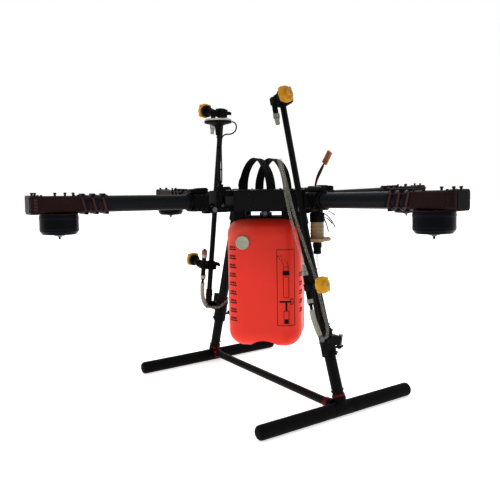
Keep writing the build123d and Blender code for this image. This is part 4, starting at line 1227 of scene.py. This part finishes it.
class DRONE_OT_nozzle_caps(Build):
    """Build the nozzles' yellow bayonet caps with ribs, wings and tips, and their knurled black nuts"""

    bl_idname = "drone.nozzle_caps"
    bl_label = "Nozzle caps"

    def execute(self, context):
        for name, side in SIDES.items():
            caps = Form()
            nuts = Form()
            tips = Form()
            for up, reach in NOZZLES[name]:
                place = boom_place(side, reach - 0.014, TEE_BESIDE, up) @ OUTWARD
                caps.turned(place, [(0.0120, 0.0), (0.0200, 0.0), (0.0210, 0.0012), (0.0210, 0.0085),
                                    (0.0196, 0.0110),
                                    (0.0170, 0.0128), (0.0130, 0.0140), (0.0095, 0.0142), (0.0088, 0.0215),
                                    (0.0075, 0.0222), (0.0048, 0.0222), (0.0045, 0.0170), (0, 0.0170)],
                            sides=96, squash=cap_ribs)
                for turn in (math.pi / 4, 3 * math.pi / 4):
                    wing = place @ spun("Z", turn)
                    caps.extruded(wing, rounded(0.048, 0.0105, 0.0045, 5), 0.0012, 0.0098)
                tips.turned(place, [(0, 0.0165), (0.0044, 0.0165), (0.0044, 0.0205), (0.0026, 0.0218),
                                    (0, 0.0206)], sides=24)
                nut = boom_place(side, reach - 0.0265, TEE_BESIDE, up) @ OUTWARD
                nuts.hoop(nut, [(0.0100, 0.0), (0.0158, 0.0), (0.0166, 0.0012), (0.0166, 0.0110),
                                (0.0155, 0.0124),
                                  (0.0100, 0.0124)], sides=96, squash=knurl(20, 0.035))
                stem = boom_place(side, 0.0, TEE_BESIDE, up) @ OUTWARD
                for level in (0.014, 0.020, 0.026):
                    if level < reach - 0.030:
                        nuts.hoop(stem, [(0.0105, level), (0.0124, level + 0.0005), (0.0124, level + 0.0028),
                                           (0.0105, level + 0.0033)], sides=48)
            yellow = caps.made(f"nozzle_cap_mouldings_{name}", f"boom_{name}", "yellow_plastic",
                               bevel=0.0005)
            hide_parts(f"nozzle_caps_{name}")
            nuts.made(f"nozzle_nuts_{name}", f"boom_{name}", "nylon_black", bevel=0.0003)
            tips.made(f"nozzle_tips_{name}", f"boom_{name}", "steel", "cap_white")
        return {"FINISHED"}


class DRONE_OT_boom_details(Build):
    """Add the booms' clamp screws, barb rings, plugs, tip plugs and rubber bands"""

    bl_idname = "drone.boom_details"
    bl_label = "Boom details"

    def execute(self, context):
        for name, side in SIDES.items():
            body = f"boom_{name}"
            screws = Form()
            dark = Form()
            for up, _ in NOZZLES[name]:
                for out in (-0.0085, 0.0085):
                    for level in (-0.007, 0.007):
                        spot = boom_place(side, out, -0.0129, up + level)
                        screw_head(screws, spot @ facing(side), *SMALL_HEAD)
                wing = boom_place(side, 0, -0.026, up)
                dark.extruded(wing @ TOWARDS_FRONT, rounded(0.026, 0.009, 0.004, 5), -0.0018, 0.0018)
                dark.turned(wing @ TOWARDS_FRONT, [(0, -0.004), (0.0052, -0.004), (0.0052, 0.004),
                                                            (0, 0.004)],
                            sides=24)
                clamp = boom_place(side, 0, 0, up)
                for level in (-0.0135, 0.0115):
                    dark.hoop(clamp, [(0.0081, level), (0.0112, level), (0.0112, level + 0.002),
                                      (0.0081, level + 0.002)], sides=36)
            top = boom_place(side, 0, 0, 0.6395)
            dark.turned(top, [(0.0, -0.004), (0.0066, -0.004), (0.0066, 0.0), (0.0078, 0.0), (0.0078, 0.0012),
                              (0.0060, 0.0022), (0, 0.0024)], sides=32)
            screws.made(f"boom_screws_{name}", body, "steel")
            dark.made(f"boom_trims_{name}", body, "nylon_black", bevel=0.0004)
            bands = Form()
            for low in ((0.020, 0.038) if side > 0 else (0.034,)):
                spot = boom_place(side, 0, 0, low)
                bands.hoop(spot, [(0.0098, 0), (0.0114, 0.0006), (0.0116, 0.0022), (0.0114, 0.0038),
                                  (0.0098, 0.0044)], sides=40)
            bands.made(f"boom_bands_{name}", body, "red_anodised", "dark_red_band")
        for name, side in SIDES.items():
            barbs = Form()
            for up, way, long in ((TEE_HIGH - HIGH_REACH, -1, 0.021), (TEE_LOW - LOW_REACH, -1, 0.0),
                                  (TEE_LOW + LOW_REACH, 1, 0.020)):
                if long and not (side < 0 and way > 0):
                    spot = boom_place(side, 0, TEE_BESIDE, up)
                    barbs.hoop(spot, [(0.0041, 0.0), (0.0068, 0.0), (0.0068, 0.005 * way),
                                      (0.0058, 0.006 * way),
                                        (0.0058, (long - 0.006) * way), (0.0050, (long - 0.0055) * way),
                                        (0.0050, (long - 0.0045) * way), (0.0041, (long - 0.0045) * way)],
                               sides=36)
                spot = boom_place(side, 0, TEE_BESIDE, up - way * 0.012)
                barbs.hoop(spot, [(0.0068, 0.0), (0.0086, 0.0006 * way), (0.0086, 0.0110 * way),
                                  (0.0068, 0.0116 * way)], sides=36)
            barbs.made(f"tee_barbs_{name}", f"boom_{name}", "steel", "barb_silver")
        plug = Form()
        spot = boom_place(-1, 0, TEE_BESIDE, TEE_LOW + LOW_REACH)
        plug.turned(spot, [(0.0069, -0.002), (0.0086, -0.001), (0.0086, 0.009), (0.0074, 0.0125),
                           (0, 0.0135)], sides=36)
        plug.made("tee_plug_left", "boom_left", "connector_amber", "pink_cap")
        return {"FINISHED"}


class DRONE_OT_bracket_details(Build):
    """Add the booms' bracket bands, cap bolts and the second wing nuts"""

    bl_idname = "drone.bracket_details"
    bl_label = "Boom bracket details"

    def execute(self, context):
        grey = Form()
        red = Form()
        steel = Form()
        black = Form()
        for side in SIDES.values():
            for low in (0.2165, 0.2235):
                red.hoop(leg_place(side, low), [(0.0150, 0), (0.0176, 0.0005), (0.0178, 0.0025),
                                                (0.0176, 0.0045),
                                                  (0.0150, 0.005)], sides=48)
            for low in (0.150, 0.180, 0.206):
                grey.hoop(leg_place(side, low), [(0.0190, 0), (0.0203, 0.0006), (0.0203, 0.0070),
                                                 (0.0190, 0.0076)], sides=48)
                for face in (-1, 1):
                    spot = leg_place(side, low + 0.004) @ spun("Z", side * face * 0.5)
                    spot = spot @ facing(-face) @ moved(0, 0, 0.0198)
                    screw_head(steel, spot, 0.0032, 0.0030)
            spot = leg_place(side, 0.166) @ moved(0, 0.019, 0) @ facing(1)
            black.turned(spot, [(0, 0), (0.0032, 0), (0.0032, 0.016), (0.0065, 0.016), (0.0065, 0.023),
                                (0, 0.024)], sides=24)
            black.extruded(spot, rounded(0.026, 0.0055, 0.0024, 4), 0.0175, 0.0235)
        grey.made("bracket_rings", "airframe", "nylon_black", "case_grey")
        red.made("bracket_bands", "airframe", "red_anodised", "dark_red_band")
        steel.made("bracket_cap_bolts", "airframe", "steel")
        black.made("bracket_wing_nuts", "airframe", "nylon_black", bevel=0.0006)
        return {"FINISHED"}


class DRONE_OT_boom_hoses(Build):
    """Build the spray hoses: two on the right boom, and one that crosses the left boom's pivot to the pump"""

    bl_idname = "drone.boom_hoses"
    bl_label = "Spray hoses"

    def execute(self, context):
        width = sizes().hose
        for name, node, route in (("long_spray_hose", "long_hose_right", RIGHT_LONG_HOSE),
                                  ("short_spray_hose", "short_hose_right", RIGHT_SHORT_HOSE)):
            hose = hose_curve(name, route, width, "boom_right", "clear_hose")
            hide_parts(node)
            line_length(route)
        route = LEFT_BOOM_HOSE[:-1] + FEED_HOSE
        line = smooth_line([Vector(p) * MM for p in route], 8)
        feed = Form().piped(line, width / 2).made("feed_spray_hose", None, "clear_hose")
        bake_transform(feed)
        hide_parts("boom_hose_left", "feed_hose")
        for name, route, count in (("left", LEFT_BOOM_HOSE, 5), ("right", RIGHT_LONG_HOSE, 5)):
            line = smooth_line([Vector(p) * MM for p in route[:count]], 8)
            Form().piped(line, width * 0.85).made(f"hose_sleeve_{name}", f"boom_{name}", "clear_hose",
                                                  "hose_sleeve", bevel=0.0008)
        return {"FINISHED"}


# ---- studio ----
BRIGHT_WALL = (-0.82, 0.57, 0.0)  # the way to the brightest side of the room
CAMERA_AT = (1.4486, -1.0517, 0.6070)
CAMERA_AZIMUTH = math.radians(55.567)
CAMERA_DIP = math.radians(6.391)
CAMERA_ROLL = math.radians(-1.053)
CAMERA_LENS = 43.9


class DRONE_OT_studio(Build):
    """Set the pale floor, the soft lights and the camera"""

    bl_idname = "drone.studio"
    bl_label = "Studio"

    def execute(self, context):
        scene = context.scene
        studio = scene.drone_studio
        material, tree, place = start_material("paper backdrop, matt white")
        fibre = add(tree, "ShaderNodeTexNoise", Vector=place, Scale=60.0, Detail=4.0)
        tone = add(tree, "ShaderNodeMix", {"data_type": "RGBA"}, i0=fibre.outputs["Fac"],
                   i6=tuple(studio.backdrop),
                   i7=(0.97, 0.97, 0.97, 1.0))
        gloss = add(tree, "ShaderNodeMapRange", Value=fibre.outputs["Fac"], To_Min=0.9, To_Max=1.0)
        shader = add(tree, "ShaderNodeBsdfPrincipled")
        shader.inputs["Emission Color"].default_value = (1.0, 1.0, 1.0, 1.0)
        shader.inputs["Emission Strength"].default_value = 0.62
        finish_material(tree, shader, tone.outputs[2], gloss.outputs[0])
        floor = Form()
        floor.block(Matrix.Identity(4), (-14.0, -14.0, -0.02), (14.0, 14.0, 0.0))
        FINISHES["backdrop"] = material
        floor.made("studio_floor", None, "", "backdrop")
        world = bpy.data.worlds.new("soft white room")
        world.use_nodes = True
        tree = world.node_tree
        tree.nodes["Background"].inputs["Color"].default_value = (1.0, 1.0, 1.0, 1.0)
        towards = add(tree, "ShaderNodeVectorMath", {"operation": "DOT_PRODUCT"},
                      i0=add(tree, "ShaderNodeTexCoord").outputs["Generated"], i1=BRIGHT_WALL)
        wash = add(tree, "ShaderNodeMapRange", Value=towards.outputs["Value"], From_Min=-0.3, From_Max=0.8,
                   To_Min=studio.fill, To_Max=1.0)
        tree.links.new(wash.outputs[0], tree.nodes["Background"].inputs["Strength"])
        scene.world = world
        scene.view_settings.view_transform = "Standard"
        scene.view_settings.gamma = 0.82  # deepens the blacks and leaves the room white
        self.softbox("overhead softbox", (0.6, -0.6, 2.6), (0.0, 0.0, 0.4), 2.2, studio.softbox)
        self.softbox("side softbox", (2.4, 0.6, 1.2), (0.0, 0.0, 0.45), 1.2, studio.softbox * 0.35)
        self.softbox("rear softbox", (-1.8, 1.6, 1.8), (0.0, 0.0, 0.45), 1.4, studio.softbox * 0.35)
        self.place_camera(scene)
        return {"FINISHED"}

    def softbox(self, name, at, aim, size, power):
        """A square soft light aimed at a point."""
        light = bpy.data.lights.new(name, "AREA")
        light.size = size
        light.energy = power
        lamp = bpy.data.objects.new(name, light)
        bpy.context.scene.collection.objects.link(lamp)
        lamp.location = at
        lamp.rotation_euler = (Vector(aim) - Vector(at)).to_track_quat("-Z", "Y").to_euler()

    def place_camera(self, scene):
        """The camera, at the front right and a little above the hub."""
        azimuth, dip, roll = CAMERA_AZIMUTH, CAMERA_DIP, CAMERA_ROLL
        forward = Vector((-math.sin(azimuth) * math.cos(dip), math.cos(azimuth) * math.cos(dip),
                          -math.sin(dip)))
        level = Vector((math.cos(azimuth), math.sin(azimuth), 0))
        upright = level.cross(forward)
        right = level * math.cos(roll) + upright * math.sin(roll)
        up = upright * math.cos(roll) - level * math.sin(roll)
        lens = bpy.data.cameras.new("studio camera")
        lens.lens = CAMERA_LENS
        lens.sensor_width = 36.0
        camera = bpy.data.objects.new("studio camera", lens)
        scene.collection.objects.link(camera)
        camera.matrix_world = Matrix.Translation(CAMERA_AT) @ Matrix((right, up,
                                                                      -forward)).transposed().to_4x4()
        scene.camera = camera


STEPS = (DRONE_OT_frame_finishes, DRONE_OT_hub_details, DRONE_OT_knuckle_details,
         DRONE_OT_motor_mount_details,
         DRONE_OT_motor_details, DRONE_OT_foam_sleeves, DRONE_OT_gear_details, DRONE_OT_tank_details,
         DRONE_OT_filler_cap, DRONE_OT_pump_details, DRONE_OT_battery_straps, DRONE_OT_battery_leads,
         DRONE_OT_receiver, DRONE_OT_nozzle_caps, DRONE_OT_boom_details, DRONE_OT_bracket_details,
         DRONE_OT_boom_hoses, DRONE_OT_studio)


class DRONE_PT_pieces(bpy.types.Panel):
    """Lists the drone's pieces and their settings"""

    bl_label = "Spray Drone"
    bl_space_type = "VIEW_3D"
    bl_region_type = "UI"
    bl_category = "Spray Drone"

    def draw(self, context):
        for group in (context.scene.drone_sizes, context.scene.drone_studio):
            for key in group.bl_rna.properties.keys():
                if key not in ("rna_type", "name"):
                    self.layout.prop(group, key)
        for step in STEPS:
            self.layout.operator(step.bl_idname)


CLASSES = (DroneSizes, DroneStudio, *STEPS, DRONE_PT_pieces)


def register():
    for cls in CLASSES:
        bpy.utils.register_class(cls)
    bpy.types.Scene.drone_sizes = bpy.props.PointerProperty(type=DroneSizes)
    bpy.types.Scene.drone_studio = bpy.props.PointerProperty(type=DroneStudio)


def unregister():
    del bpy.types.Scene.drone_sizes
    del bpy.types.Scene.drone_studio
    for cls in reversed(CLASSES):
        bpy.utils.unregister_class(cls)


def main():
    """Register, and build every piece in order."""
    register()
    for step in STEPS:
        group, action = step.bl_idname.split(".")
        getattr(getattr(bpy.ops, group), action)()


if __name__ == "__main__":
    main()
